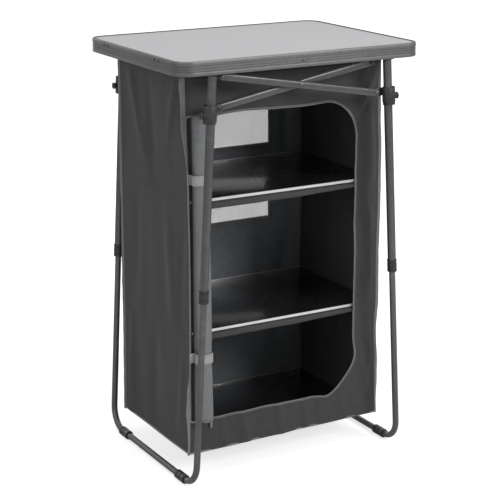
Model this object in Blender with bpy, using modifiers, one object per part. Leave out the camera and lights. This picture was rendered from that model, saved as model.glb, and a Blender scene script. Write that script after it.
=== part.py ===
"""Folding camping larder: a table board on a scissor frame, with a cloth cabinet hung inside it.

Metres, +Z up. The origin is on the floor, under the middle of the board.
+X is the user's right, -Y is the side with the door opening.
Two leaning side frames carry the board. Crossed bars join them at the front and at the back,
and sliders on the legs let the frame close sideways. Each side frame has a lower U tube
that slides up into its legs. The cabinet hangs from the two side tubes by webbing sleeves.
"""
import math

import bmesh
import bpy
from mathutils import Matrix, Vector

# Clearance between touching pieces, and how deep shapes of one piece run into each other
GAP = 0.0003
JOIN_DEPTH = 0.001

# Table board and its edging
BOARD_WIDTH = 0.600
BOARD_DEPTH = 0.456
BOARD_TOP = 0.950
BOARD_CORNER = 0.036
PANEL_THICKNESS = 0.012
RIM_HEIGHT = 0.031
RIM_WALL = 0.0020
RIM_BREAK = 0.0013
RIM_GROOVE = 0.0007
RIM_GROOVE_HEIGHT = 0.0034
RIM_GROOVE_STARTS = (0.0075, 0.0150)
RIM_SEAM_X = 0.004
RIM_SEAM_GAP = 0.0004
LIP_WIDTH = 0.0050
LIP_THICKNESS = 0.0012
LEDGE_WIDTH = 0.0080
LEDGE_THICKNESS = 0.0015
RAIL_SETBACK = 0.103
RAIL_WIDTH = 0.025
RAIL_THICKNESS = 0.0024
TAB_THICKNESS = 0.0024
TAB_REACH = 0.010
TAB_INSET = 0.003

# Side frames
LEG_SETBACK = 0.0837
LEG_LEAN = math.radians(3.14)
HEAD_CLEARANCE = 0.0025
UPPER_RADIUS = 0.0095
UPPER_WALL = 0.0008
LOWER_RADIUS = 0.00725
LOWER_WALL = 0.0010
UPPER_END_Z = 0.460
LOWER_INSERT = 0.055
BEND_RADIUS = 0.050
COLLAR_RADIUS = 0.0110
COLLAR_HEIGHT = 0.030
COLLAR_SPIGOT = 0.020
COLLAR_CHAMFER = 0.0012
FOOT_RADIUS = 0.0105
FOOT_LENGTH = 0.038
FOOT_SETBACK = 0.068
HEAD_WIDTH = 0.024
HEAD_COVER = 0.0006
HEAD_ROUND = 0.0025
HEAD_RISE = 0.0018
HEAD_PLUG = 0.022

# Crossed bars, sliders and their locks
PIVOT_INSET = 0.0267
TOP_PIVOT_DROP = 0.008
SLIDER_DROP = 0.067
FOLD_TURN = math.radians(73.0)
EAR_THICKNESS = 0.0036
EAR_SETBACK = 0.0005
EAR_RADIUS = 0.0085
EAR_OVERLAP = 0.0010
BAR_RADIUS = 0.00825
BAR_THICKNESS = 0.0090
BAR_EDGE = 0.0036
PIN_RADIUS = 0.0021
PIN_HEAD = 0.0048
PIN_HEAD_HEIGHT = 0.0014
DOME_TURN = 0.6
DOME_SHOULDER = 0.8
SPACER_RADIUS = 0.0065
SLIDER_UPPER_LENGTH = 0.011
SLIDER_LOWER_LENGTH = 0.022
SLIDER_FOOT_LENGTH = 0.006
SLIDER_RADIUS = 0.0128
SLIDER_FOOT_RADIUS = 0.0118
SLIDER_FOOT_STEP = 0.0006
SLIDER_OUTER_WALL = 0.0018
KNOB_DROP = 0.009
BOSS_RADIUS = 0.0070
BOSS_HEIGHT = 0.0020
BOSS_SEAT = 0.0024
SLIDER_EAR_ROOT = 0.003
KNOB_STEM = 0.0029
KNOB_GAP = 0.0012
KNOB_RADIUS = 0.00775
KNOB_THICKNESS = 0.0044
KNOB_CHAMFER = 0.0010

# Cloth cabinet
CLOTH = 0.0020
CABINET_SIDE_REACH = 0.0292
CABINET_FRONT_SETBACK = 0.0665
CABINET_BACK_SETBACK = 0.0315
CABINET_BOTTOM = 0.0655
CABINET_DROP = 0.0140
SIDE_FOLD = 0.0024
SIDE_HOLD = 0.7
SIDE_RIPPLES = 5
SIDE_SLANT = 9
SIDE_RIPPLE_SHARE = 0.35
FRONT_FOLD = 0.0018
FRONT_RIPPLE_X = 11
FRONT_RIPPLE_Z = 23
FRONT_RIPPLE_SHARE = 0.4
FLAT_SHARE = 0.12
FRONT_STEP = 0.075
BACK_FOLD = 0.0008
OPENING_BORDER = 0.0635
OPENING_BOTTOM = 0.137
OPENING_DROP = 0.083
OPENING_CORNER = 0.082
HINGE_CORNER = 0.006
HINGE_BORDER = 0.006
WINDOW_BORDER = 0.098
WINDOW_LOW_DROPS = (0.419, 0.299)
WINDOW_HIGH_DROPS = (0.236, 0.105)
MESH_THICKNESS = 0.0010
MESH_MARGIN = 0.010
FLANGE_WIDTH = 0.0042
FLANGE_THICKNESS = 0.0016
FLANGE_WAVE = 0.0011
FLANGE_WAVE_RATE = 27
FLANGE_TRIM = 0.2
FLANGE_TRIM_RATE = 17
HEM_HEIGHT = 0.0030
HEM_WIDTH = 0.0034
HEM_OVERLAP = 0.0012
HEM_CORNER = 0.0020
ZIP_WIDTH = 0.0042
ZIP_THICKNESS = 0.0012

# Rolled door and its straps
ROLL_TOP_INSET = 0.0266
ROLL_BOTTOM_INSET = 0.0321
ROLL_STANDOFF = 0.0150
ROLL_TOP_RISE = 0.004
ROLL_BOTTOM_RISE = 0.001
ROLL_RADIUS = 0.0120
ROLL_WIDE = 1.62
ROLL_CORE = 0.0030
ROLL_TURNS = 4
ROLL_CLOTH = 0.0012
ROLL_SLACK = 0.02
ROLL_SLACK_RATE = 14
STRAP_HEIGHT = 0.022
STRAP_THICKNESS = 0.0012
STRAP_PLAY = 0.0004
STRAP_STEPS = 20
STRAP_UPPER_DROP = 0.139
STRAP_LOWER_DROP = 0.056
STRAP_TAIL = 0.004
STRAP_SEAM = 0.003

# Shelves, base board and hanging sleeves
SHELF_DROPS = (0.267, 0.562)
SHELF_THICKNESS = 0.009
SHELF_SIDE_PLAY = 0.0070
SHELF_FRONT_PLAY = 0.0053
SHELF_BACK_PLAY = 0.0035
SHELF_CORNER = 0.004
TRIM_HEIGHT = 0.006
TRIM_THICKNESS = 0.0015
TRIM_ROUND = 0.0004
SLING_BAND = 0.0130
BASE_THICKNESS = 0.005
SLEEVE_THICKNESS = 0.0012
SLEEVE_MARGIN = 0.0125

# Numbers of facets
ROUND_STEPS = 16
SMALL_STEPS = 12
BORE_STEPS = 8
CORNER_STEPS = 5
OPENING_STEPS = 6

# Places that follow from the sizes above
RIM_UNDER = BOARD_TOP - RIM_HEIGHT
LEG_X_AT_RIM = BOARD_WIDTH / 2 - LEG_SETBACK
LEG_Y = BOARD_DEPTH / 2 - RIM_WALL - HEAD_CLEARANCE - UPPER_RADIUS
FOOT_Y = LEG_Y - FOOT_SETBACK
RAIL_Y = BOARD_DEPTH / 2 - RAIL_SETBACK
SLEEVE_LENGTH = 2 * (RAIL_Y - RAIL_WIDTH / 2 - SLEEVE_MARGIN)
CABINET_HALF = LEG_X_AT_RIM + CABINET_SIDE_REACH
CABINET_FRONT = CABINET_FRONT_SETBACK - LEG_Y
CABINET_BACK = LEG_Y - CABINET_BACK_SETBACK
OPENING_RIGHT = CABINET_HALF - OPENING_BORDER
HINGE_X = HINGE_BORDER - CABINET_HALF
WINDOW_HALF = CABINET_HALF - WINDOW_BORDER
CABINET_TOP = RIM_UNDER - CABINET_DROP
OPENING_TOP = CABINET_TOP - OPENING_DROP
WINDOW_LOW = tuple(CABINET_TOP - drop for drop in WINDOW_LOW_DROPS)
WINDOW_HIGH = tuple(CABINET_TOP - drop for drop in WINDOW_HIGH_DROPS)
ROLL_Y = CABINET_FRONT - ROLL_STANDOFF
ROLL_TOP = (ROLL_TOP_INSET - CABINET_HALF, ROLL_Y, OPENING_TOP + ROLL_TOP_RISE)
ROLL_BOTTOM = (ROLL_BOTTOM_INSET - CABINET_HALF, ROLL_Y, OPENING_BOTTOM + ROLL_BOTTOM_RISE)
SHELF_TOPS = tuple(CABINET_TOP - drop for drop in SHELF_DROPS)
SHELF_HALF = CABINET_HALF - SHELF_SIDE_PLAY
SHELF_FRONT = CABINET_FRONT + SHELF_FRONT_PLAY
SHELF_BACK = CABINET_BACK - SHELF_BACK_PLAY
PANEL_TOP = BOARD_TOP - LIP_THICKNESS - GAP
PANEL_UNDER = PANEL_TOP - PANEL_THICKNESS
LEDGE_TOP = PANEL_UNDER - GAP
LEDGE_UNDER = LEDGE_TOP - LEDGE_THICKNESS
RAIL_TOP = PANEL_UNDER - GAP
RAIL_UNDER = RAIL_TOP - RAIL_THICKNESS
SIDE_TUBE_Z = RAIL_UNDER - GAP - UPPER_RADIUS
HEAD_TOP = LEDGE_UNDER - GAP
HEAD_UNDER = SIDE_TUBE_Z - UPPER_RADIUS + HEAD_RISE
LEG_TOP_Z = HEAD_UNDER - GAP - UPPER_RADIUS * math.sin(LEG_LEAN)
EAR_Y = LEG_Y - UPPER_RADIUS - GAP - EAR_SETBACK - EAR_THICKNESS / 2
HEAD_INNER_Y = EAR_Y - EAR_THICKNESS / 2 - HEAD_COVER
HEAD_OUTER_Y = LEG_Y + UPPER_RADIUS
BAR_OFFSET = EAR_THICKNESS / 2 + GAP + BAR_THICKNESS / 2
COLLAR_BORE = LOWER_RADIUS + GAP
UPPER_BORE = UPPER_RADIUS - UPPER_WALL
FLOOR_BAR_Z = FOOT_RADIUS
TOP_PIVOT_Z = RIM_UNDER - TOP_PIVOT_DROP
SLIDER_PIVOT_Z = TOP_PIVOT_Z - SLIDER_DROP
SLIDER_TOP_Z = SLIDER_PIVOT_Z + SLIDER_UPPER_LENGTH
SLIDER_STEP_Z = SLIDER_PIVOT_Z - SLIDER_LOWER_LENGTH
SLIDER_BOTTOM_Z = SLIDER_STEP_Z - SLIDER_FOOT_LENGTH
KNOB_Z = SLIDER_PIVOT_Z - KNOB_DROP


def leg_x(z):
    """Distance of a leg's axis from the middle plane at height z."""
    return LEG_X_AT_RIM + (RIM_UNDER - z) * math.tan(LEG_LEAN)


TOP_PIVOT_X = leg_x(TOP_PIVOT_Z) - PIVOT_INSET
SLIDER_PIVOT_X = leg_x(SLIDER_PIVOT_Z) - PIVOT_INSET
BAR_SLOPE = math.atan2(TOP_PIVOT_Z - SLIDER_PIVOT_Z, TOP_PIVOT_X + SLIDER_PIVOT_X)
BAR_UPPER = TOP_PIVOT_X / math.cos(BAR_SLOPE)
BAR_LOWER = SLIDER_PIVOT_X / math.cos(BAR_SLOPE)
CROSS_Z = TOP_PIVOT_Z - BAR_UPPER * math.sin(BAR_SLOPE)
UPPER_ANGLE = math.pi / 2 - BAR_SLOPE + LEG_LEAN
LOWER_ANGLE = math.pi / 2 - BAR_SLOPE - LEG_LEAN


def second_bar_share():
    """Turn of the second bar for each unit of the first bar's turn, exact at both ends."""
    end_sine = BAR_UPPER / BAR_LOWER * math.sin(UPPER_ANGLE - FOLD_TURN)
    return (LOWER_ANGLE - math.asin(end_sine)) / FOLD_TURN


def slider_drift():
    """Largest way that a slider moves off its leg's axis while the frame folds."""
    share = second_bar_share()
    steps = 60
    drift = 0.0
    for i in range(steps + 1):
        turn = FOLD_TURN * i / steps
        out = BAR_UPPER * math.sin(UPPER_ANGLE - turn)
        back = BAR_LOWER * math.sin(LOWER_ANGLE - share * turn)
        drift = max(drift, out - back)
    return drift


BORE_PLAY = slider_drift() + GAP
SLIDER_REACH = UPPER_RADIUS + GAP + BORE_PLAY + SLIDER_OUTER_WALL
KNOB_FACE = SLIDER_REACH + BOSS_HEIGHT + KNOB_GAP


def clear_scene():
    """Remove what a new file holds."""
    for item in list(bpy.data.objects):
        bpy.data.objects.remove(item, do_unlink=True)


def new_collection(name):
    """Make a collection in the scene."""
    collection = bpy.data.collections.new(name)
    bpy.context.scene.collection.children.link(collection)
    return collection


def new_material(name, color, roughness, metallic):
    """Make a Principled material."""
    material = bpy.data.materials.new(name)
    material.use_nodes = True
    shader = material.node_tree.nodes["Principled BSDF"]
    shader.inputs["Base Color"].default_value = (*color, 1.0)
    shader.inputs["Roughness"].default_value = roughness
    shader.inputs["Metallic"].default_value = metallic
    return material


clear_scene()
PARTS = new_collection("camping_larder")
GUIDES = new_collection("cutters")
STEEL = new_material("grey_painted_steel", (0.13, 0.13, 0.135), 0.38, 0.6)
EDGING = new_material("grey_edging", (0.13, 0.13, 0.13), 0.36, 0.7)
LAMINATE = new_material("pale_laminate", (0.52, 0.52, 0.54), 0.45, 0.0)
BLACK_PLASTIC = new_material("black_plastic", (0.02, 0.02, 0.021), 0.45, 0.0)
BARE_STEEL = new_material("bright_steel", (0.6, 0.6, 0.6), 0.25, 1.0)
CHARCOAL = new_material("charcoal_cloth", (0.065, 0.062, 0.065), 0.9, 0.0)
GREY_CLOTH = new_material("grey_binding", (0.18, 0.18, 0.185), 0.85, 0.0)
NETTING = new_material("pale_netting", (0.42, 0.43, 0.45), 0.8, 0.0)
GLOSS_BLACK = new_material("gloss_black_board", (0.012, 0.012, 0.013), 0.12, 0.0)
WHITE_TRIM = new_material("bright_trim", (0.75, 0.76, 0.78), 0.3, 0.3)
WEBBING = new_material("black_webbing", (0.03, 0.03, 0.03), 0.85, 0.0)


def aim(origin, direction):
    """Matrix that puts local Z along direction at origin."""
    turn = Vector(direction).to_track_quat("Z", "Y").to_matrix().to_4x4()
    return Matrix.Translation(origin) @ turn


def smooth(item):
    """Shade a piece smooth, with its real edges sharp."""
    item.data.shade_smooth()
    item.data.set_sharp_from_angle(angle=math.radians(40))


def keep(item, material):
    """Give a finished piece its material and its place among the parts."""
    item.data.materials.clear()
    item.data.materials.append(material)
    PARTS.objects.link(item)
    return item


def mesh_object(name, bm, origin=(0.0, 0.0, 0.0)):
    """Object from a bmesh drawn in world places, with its origin where a joint needs it."""
    bmesh.ops.translate(bm, vec=-Vector(origin), verts=bm.verts)
    mesh = bpy.data.meshes.new(name)
    bm.to_mesh(mesh)
    bm.free()
    item = bpy.data.objects.new(name, mesh)
    item.location = origin
    smooth(item)
    return item


def add_box(bm, low, high, round_by=0.0):
    """Add a box between two corners, with rounded edges where asked."""
    size = Vector(high) - Vector(low)
    middle = (Vector(high) + Vector(low)) / 2
    matrix = Matrix.Translation(middle) @ Matrix.Diagonal((*size, 1.0))
    made = bmesh.ops.create_cube(bm, size=1.0, matrix=matrix)
    if round_by > 0.0:
        edges = {edge for vert in made["verts"] for edge in vert.link_edges}
        bmesh.ops.bevel(bm, geom=list(edges), offset=round_by, segments=2, profile=0.5, affect="EDGES")


def add_rod(bm, start, end, radius, steps=ROUND_STEPS):
    """Add a solid cylinder between two points."""
    way = Vector(end) - Vector(start)
    matrix = aim((Vector(start) + Vector(end)) / 2, way)
    bmesh.ops.create_cone(
        bm, cap_ends=True, segments=steps, radius1=radius, radius2=radius, depth=way.length, matrix=matrix
    )


def box_object(name, low, high, round_by=0.0, origin=(0.0, 0.0, 0.0)):
    """A box piece."""
    bm = bmesh.new()
    add_box(bm, low, high, round_by)
    return mesh_object(name, bm, origin)


def rod_object(name, start, end, radius, steps=ROUND_STEPS, origin=(0.0, 0.0, 0.0)):
    """A solid round piece."""
    bm = bmesh.new()
    add_rod(bm, start, end, radius, steps)
    return mesh_object(name, bm, origin)


def as_guide(item):
    """Put a helper shape among the cutters, out of the render."""
    GUIDES.objects.link(item)
    item.hide_render = True
    item.display_type = "WIRE"
    return item


def combine(base, tool, operation):
    """Join a helper shape to a piece, or cut it away."""
    as_guide(tool)
    change = base.modifiers.new(operation.lower(), "BOOLEAN")
    change.operation = operation
    change.solver = "EXACT"
    change.object = tool


def settle(item):
    """Turn a piece with modifiers into a plain mesh piece of the same name and place."""
    bpy.context.scene.collection.objects.link(item)
    bpy.context.view_layer.update()
    graph = bpy.context.evaluated_depsgraph_get()
    mesh = bpy.data.meshes.new_from_object(item.evaluated_get(graph))
    name = item.name
    matrix = item.matrix_world.copy()
    bpy.data.objects.remove(item, do_unlink=True)
    weld = bmesh.new()
    weld.from_mesh(mesh)
    bmesh.ops.remove_doubles(weld, verts=weld.verts, dist=0.000005)
    weld.to_mesh(mesh)
    weld.free()
    plain = bpy.data.objects.new(name, mesh)
    mesh.name = name
    plain.matrix_world = matrix
    smooth(plain)
    return plain


def arc(center, radius, start, end, steps):
    """Points of an arc in a plane, its two ends included. Angles are in radians."""
    points = []
    for i in range(steps + 1):
        angle = start + (end - start) * i / steps
        points.append((center[0] + radius * math.cos(angle), center[1] + radius * math.sin(angle)))
    return points


def rounded_rectangle(left, right, bottom, top, corner, steps=CORNER_STEPS, left_corner=None):
    """Closed outline of a rectangle with round corners, counter-clockwise from the lower right."""
    quarter = math.pi / 2
    near = corner if left_corner is None else left_corner
    points = arc((right - corner, bottom + corner), corner, -quarter, 0.0, steps)
    points += arc((right - corner, top - corner), corner, 0.0, quarter, steps)
    points += arc((left + near, top - near), near, quarter, 2 * quarter, steps)
    points += arc((left + near, bottom + near), near, 2 * quarter, 3 * quarter, steps)
    return points


def opening_outline(out=0.0):
    """Outline of the door opening, or one outside it. Its corners are tight where the door is sewn on."""
    left = HINGE_X - out
    right = OPENING_RIGHT + out
    low = OPENING_BOTTOM - out
    high = OPENING_TOP + out
    return rounded_rectangle(left, right, low, high, OPENING_CORNER + out, OPENING_STEPS, HINGE_CORNER + out)


def capsule(start, end, radius, steps=6):
    """Closed outline with round ends between two points of a plane."""
    angle = math.atan2(end[1] - start[1], end[0] - start[0])
    quarter = math.pi / 2
    points = arc(end, radius, angle - quarter, angle + quarter, steps)
    points += arc(start, radius, angle + quarter, angle + 3 * quarter, steps)
    return points


def circle(center, radius, steps):
    """Closed round outline."""
    return arc(center, radius, 0.0, 2 * math.pi * (steps - 1) / steps, steps - 1)


def add_loop(curve, points):
    """Add a closed straight-sided spline to a flat curve."""
    spline = curve.splines.new("POLY")
    spline.points.add(len(points) - 1)
    for place, point in zip(spline.points, points):
        place.co = (point[0], point[1], 0.0, 1.0)
    spline.use_cyclic_u = True


def flat_piece(name, loops, thickness, matrix, edge=0.0):
    """Flat outline, with holes if it has more loops, thickened evenly about its plane."""
    curve = bpy.data.curves.new(name, "CURVE")
    curve.dimensions = "2D"
    curve.fill_mode = "BOTH"
    curve.extrude = thickness / 2 - edge
    curve.bevel_depth = edge
    curve.bevel_resolution = 1
    curve.offset = -edge
    for points in loops:
        add_loop(curve, points)
    item = bpy.data.objects.new(name, curve)
    item.matrix_world = matrix
    return settle(item)


def upright(y):
    """Matrix that stands a flat outline in the XZ plane at depth y."""
    return Matrix.Translation((0.0, y, 0.0)) @ Matrix.Rotation(math.pi / 2, 4, "X")


def turned_piece(name, profile, matrix, steps=ROUND_STEPS, closed=False):
    """Turned piece: its profile of (radius, height) points runs down the outer side."""
    bm = bmesh.new()
    verts = [bm.verts.new((radius, 0.0, height)) for radius, height in profile]
    for first, second in zip(verts, verts[1:]):
        bm.edges.new((first, second))
    if closed:
        bm.edges.new((verts[-1], verts[0]))
    mesh = bpy.data.meshes.new(name)
    bm.to_mesh(mesh)
    bm.free()
    item = bpy.data.objects.new(name, mesh)
    turn = item.modifiers.new("turn", "SCREW")
    turn.steps = steps
    turn.render_steps = steps
    turn.use_merge_vertices = True
    turn.merge_threshold = 0.00001
    item.matrix_world = matrix
    return settle(item)


def dome(base):
    """Profile of a rivet's low domed head that stands on a height, from its crown out to its rim."""
    crown = [(0.0, PIN_HEAD_HEIGHT), (PIN_HEAD * DOME_TURN, PIN_HEAD_HEIGHT * DOME_SHOULDER)]
    rim = [(PIN_HEAD, PIN_HEAD_HEIGHT * (1 - DOME_SHOULDER)), (PIN_HEAD, 0.0)]
    return [(radius, base + height) for radius, height in crown + rim]


def mirrored(half_profile):
    """Whole profile of a rivet from its upper half."""
    return half_profile + [(radius, -height) for radius, height in reversed(half_profile)]


def tube_piece(name, start, end, radius, wall, origin=(0.0, 0.0, 0.0)):
    """Straight open tube between two points."""
    way = Vector(end) - Vector(start)
    bm = bmesh.new()
    matrix = aim((Vector(start) + Vector(end)) / 2, way)
    bmesh.ops.create_cone(
        bm, segments=ROUND_STEPS, radius1=radius, radius2=radius, depth=way.length, matrix=matrix
    )
    item = mesh_object(name, bm, origin)
    shell = item.modifiers.new("wall", "SOLIDIFY")
    shell.thickness = wall
    shell.offset = -1.0
    return settle(item)


def sheet_piece(name, columns, rows, place, thickness, missing=None, middle=False):
    """Cloth panel: a grid of (column, row) values placed by a formula, given its thickness inwards."""
    bm = bmesh.new()
    grid = [[bm.verts.new(place(u, v)) for u in columns] for v in rows]
    for j in range(len(rows) - 1):
        for i in range(len(columns) - 1):
            spot = ((columns[i] + columns[i + 1]) / 2, (rows[j] + rows[j + 1]) / 2)
            if missing is None or not missing(*spot):
                bm.faces.new((grid[j][i], grid[j][i + 1], grid[j + 1][i + 1], grid[j + 1][i]))
    loose = [vert for vert in bm.verts if not vert.link_faces]
    bmesh.ops.delete(bm, geom=loose, context="VERTS")
    item = mesh_object(name, bm)
    shell = item.modifiers.new("cloth", "SOLIDIFY")
    shell.thickness = thickness
    shell.offset = 0.0 if middle else -1.0
    return settle(item)


def spread(start, end, count):
    """Evenly spaced values from start to end, with both of them."""
    return [start + (end - start) * i / count for i in range(count + 1)]


def leg_point(side, front, z):
    """Point on a leg's axis. side is -1 or 1 for left or right, front is -1 or 1 for front or back."""
    return Vector((side * leg_x(z), front * LEG_Y, z))


def leg_matrix(side, front, z):
    """Matrix with local Z up a leg's axis and local X pointing outboard."""
    up = Vector((-side * math.sin(LEG_LEAN), 0.0, math.cos(LEG_LEAN)))
    out = Vector((side * math.cos(LEG_LEAN), 0.0, math.sin(LEG_LEAN)))
    across = up.cross(out)
    matrix = Matrix((out, across, up)).transposed().to_4x4()
    return Matrix.Translation(leg_point(side, front, z)) @ matrix


def corner_name(side, front):
    """Name ending for a corner of the frame."""
    return ("front" if front < 0 else "rear") + "_" + side_name(side)


def side_name(side):
    """Name ending for a side of the frame."""
    return "left" if side < 0 else "right"


def edge_section():
    """Outline of the board's edging, measured inwards from its outer face and up from its underside."""
    ledge = LEDGE_TOP - RIM_UNDER
    lip = RIM_HEIGHT - LIP_THICKNESS
    inner = RIM_WALL
    outer_face = [(0.0, RIM_BREAK)]
    for start in RIM_GROOVE_STARTS:
        end = start + RIM_GROOVE_HEIGHT
        outer_face += [(0.0, start), (RIM_GROOVE, start + RIM_GROOVE)]
        outer_face += [(RIM_GROOVE, end - RIM_GROOVE), (0.0, end)]
    return outer_face + [
        (0.0, RIM_HEIGHT - RIM_BREAK),
        (RIM_BREAK, RIM_HEIGHT),
        (LIP_WIDTH, RIM_HEIGHT),
        (LIP_WIDTH, lip),
        (inner, lip),
        (inner, ledge),
        (LEDGE_WIDTH, ledge),
        (LEDGE_WIDTH, ledge - LEDGE_THICKNESS),
        (inner, ledge - LEDGE_THICKNESS),
        (inner, 0.0),
        (RIM_BREAK, 0.0),
    ]


def edge_path():
    """Points of the edging's outer face, from its seam at the front right round the board and back."""
    x = BOARD_WIDTH / 2
    y = BOARD_DEPTH / 2
    turn = rounded_rectangle(-x, x, -y, y, BOARD_CORNER, CORNER_STEPS + 1)
    return [(RIM_SEAM_X + RIM_SEAM_GAP / 2, -y)] + turn + [(RIM_SEAM_X - RIM_SEAM_GAP / 2, -y)]


def inward_normals(path):
    """Direction into the board at each point of the edging's path, stretched at its mitres."""
    normals = []
    for i, point in enumerate(path):
        before = Vector(path[max(i - 1, 0)])
        after = Vector(path[min(i + 1, len(path) - 1)])
        here = Vector(point)
        ways = [way.normalized() for way in (here - before, after - here) if way.length > 0]
        mean = sum(ways, Vector((0.0, 0.0))).normalized()
        normals.append(Vector((-mean.y, mean.x)) / mean.dot(ways[0]))
    return normals


def make_rim():
    """Edging of the board: one bent strip, whose section is carried round to a seam at the front."""
    path = edge_path()
    section = edge_section()
    bm = bmesh.new()
    rings = []
    for point, normal in zip(path, inward_normals(path)):
        ring = []
        for inward, height in section:
            x = point[0] + normal.x * inward
            y = point[1] + normal.y * inward
            ring.append(bm.verts.new((x, y, RIM_UNDER + height)))
        rings.append(ring)
    count = len(section)
    for first, second in zip(rings, rings[1:]):
        for k in range(count):
            m = (k + 1) % count
            bm.faces.new((first[k], first[m], second[m], second[k]))
    bm.faces.new(rings[0])
    bm.faces.new(rings[-1])
    bmesh.ops.recalc_face_normals(bm, faces=bm.faces)
    return keep(mesh_object("tabletop_rim", bm), EDGING)


def make_panel():
    """Laminated table panel, seated between the edging's lip and ledge."""
    inset = RIM_WALL + GAP
    x = BOARD_WIDTH / 2 - inset
    y = BOARD_DEPTH / 2 - inset
    loop = rounded_rectangle(-x, x, -y, y, BOARD_CORNER - inset, CORNER_STEPS + 1)
    matrix = Matrix.Translation((0.0, 0.0, PANEL_TOP - PANEL_THICKNESS / 2))
    return keep(flat_piece("tabletop_panel", [loop], PANEL_THICKNESS, matrix), LAMINATE)


def make_rail(front):
    """Flat rail under the panel. It rests on the side tubes, and its tabs stop the board sideways."""
    end = BOARD_WIDTH / 2 - LEDGE_WIDTH - GAP
    low_y = front * RAIL_Y - RAIL_WIDTH / 2
    high_y = front * RAIL_Y + RAIL_WIDTH / 2
    name = "cross_rail_" + ("front" if front < 0 else "rear")
    rail = box_object(name, (-end, low_y, RAIL_UNDER), (end, high_y, RAIL_TOP))
    inner = LEG_X_AT_RIM + UPPER_RADIUS + 2 * GAP
    for side in (-1, 1):
        xs = sorted((side * inner, side * (inner + TAB_THICKNESS)))
        low = (xs[0], low_y + TAB_INSET, RAIL_UNDER - TAB_REACH)
        high = (xs[1], high_y - TAB_INSET, RAIL_UNDER + RAIL_THICKNESS / 2)
        combine(rail, box_object("tab", low, high), "UNION")
    return keep(rail, STEEL)


def make_upper_leg(side, front):
    """Upper leg tube, from the corner head down to the collar."""
    start = leg_point(side, front, LEG_TOP_Z)
    end = leg_point(side, front, UPPER_END_Z)
    leg = tube_piece("upper_leg_" + corner_name(side, front), start, end, UPPER_RADIUS, UPPER_WALL)
    return keep(leg, STEEL)


def make_collar(side, front):
    """Plastic collar at the foot of an upper leg: a bush for the lower tube, with a spigot."""
    outer_spigot = UPPER_BORE - GAP
    top = -GAP
    profile = [
        (outer_spigot, COLLAR_SPIGOT),
        (outer_spigot, top),
        (COLLAR_RADIUS - COLLAR_CHAMFER, top),
        (COLLAR_RADIUS, top - COLLAR_CHAMFER),
        (COLLAR_RADIUS, COLLAR_CHAMFER - COLLAR_HEIGHT),
        (COLLAR_RADIUS - COLLAR_CHAMFER, -COLLAR_HEIGHT),
        (COLLAR_BORE, -COLLAR_HEIGHT),
        (COLLAR_BORE, COLLAR_SPIGOT),
    ]
    matrix = leg_matrix(side, front, UPPER_END_Z)
    collar = turned_piece("collar_" + corner_name(side, front), profile, matrix, closed=True)
    return keep(collar, BLACK_PLASTIC)


def make_side_tube(side):
    """Top tube of a side frame, between its two corner heads."""
    x = side * LEG_X_AT_RIM
    y = HEAD_INNER_Y - GAP
    start = (x, -y, SIDE_TUBE_Z)
    end = (x, y, SIDE_TUBE_Z)
    return keep(tube_piece("side_tube_" + side_name(side), start, end, UPPER_RADIUS, UPPER_WALL), STEEL)


def make_corner_head(side, front):
    """Plastic corner head: it plugs into leg and side tube, and its ear carries a bar's pivot pin."""
    x = side * LEG_X_AT_RIM
    ys = sorted((front * HEAD_INNER_Y, front * HEAD_OUTER_Y))
    low = (x - HEAD_WIDTH / 2, ys[0], HEAD_UNDER)
    high = (x + HEAD_WIDTH / 2, ys[1], HEAD_TOP)
    head = box_object("corner_head_" + corner_name(side, front), low, high, HEAD_ROUND)
    middle = (HEAD_TOP + HEAD_UNDER) / 2
    plug = UPPER_BORE - GAP
    start = leg_point(side, front, middle)
    end = leg_point(side, front, LEG_TOP_Z - HEAD_PLUG)
    combine(head, rod_object("leg_plug", start, end, plug), "UNION")
    start = (x, front * (HEAD_INNER_Y - HEAD_PLUG), SIDE_TUBE_Z)
    end = (x, front * LEG_Y, SIDE_TUBE_Z)
    combine(head, rod_object("tube_plug", start, end, plug), "UNION")
    pivot = (side * TOP_PIVOT_X, TOP_PIVOT_Z)
    seat = (side * (LEG_X_AT_RIM - HEAD_WIDTH / 2 + EAR_OVERLAP), middle)
    ear = flat_piece("ear", [capsule(pivot, seat, EAR_RADIUS)], EAR_THICKNESS, upright(front * EAR_Y))
    combine(head, ear, "UNION")
    combine(head, ear_pin(pivot, front, side < 0), "UNION")
    return keep(settle(head), BLACK_PLASTIC)


def pin_hole(pivot, front):
    """Hole for a pivot pin, through ear and bars."""
    reach = BAR_OFFSET + BAR_THICKNESS
    start = (pivot[0], front * EAR_Y - reach, pivot[1])
    end = (pivot[0], front * EAR_Y + reach, pivot[1])
    return rod_object("pin_hole", start, end, PIN_RADIUS + GAP, SMALL_STEPS)


def bar_y(front, first):
    """Depth of a bar's middle plane: the first bar runs outside the ears, the second inside."""
    return front * (EAR_Y + (BAR_OFFSET if first else -BAR_OFFSET))


def ear_pin(pivot, front, first):
    """Pin fixed in an ear, with its head beyond the one bar beside it."""
    way = front if first else -front
    near = front * EAR_Y - way * (EAR_THICKNESS / 2 - GAP)
    far = front * EAR_Y + way * (EAR_THICKNESS / 2 + 2 * GAP + BAR_THICKNESS)
    matrix = aim((pivot[0], (near + far) / 2, pivot[1]), (0.0, 1.0, 0.0))
    half = abs(far - near) / 2
    return turned_piece("pin", mirrored(dome(half) + [(PIN_RADIUS, half)]), matrix, SMALL_STEPS)


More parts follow.
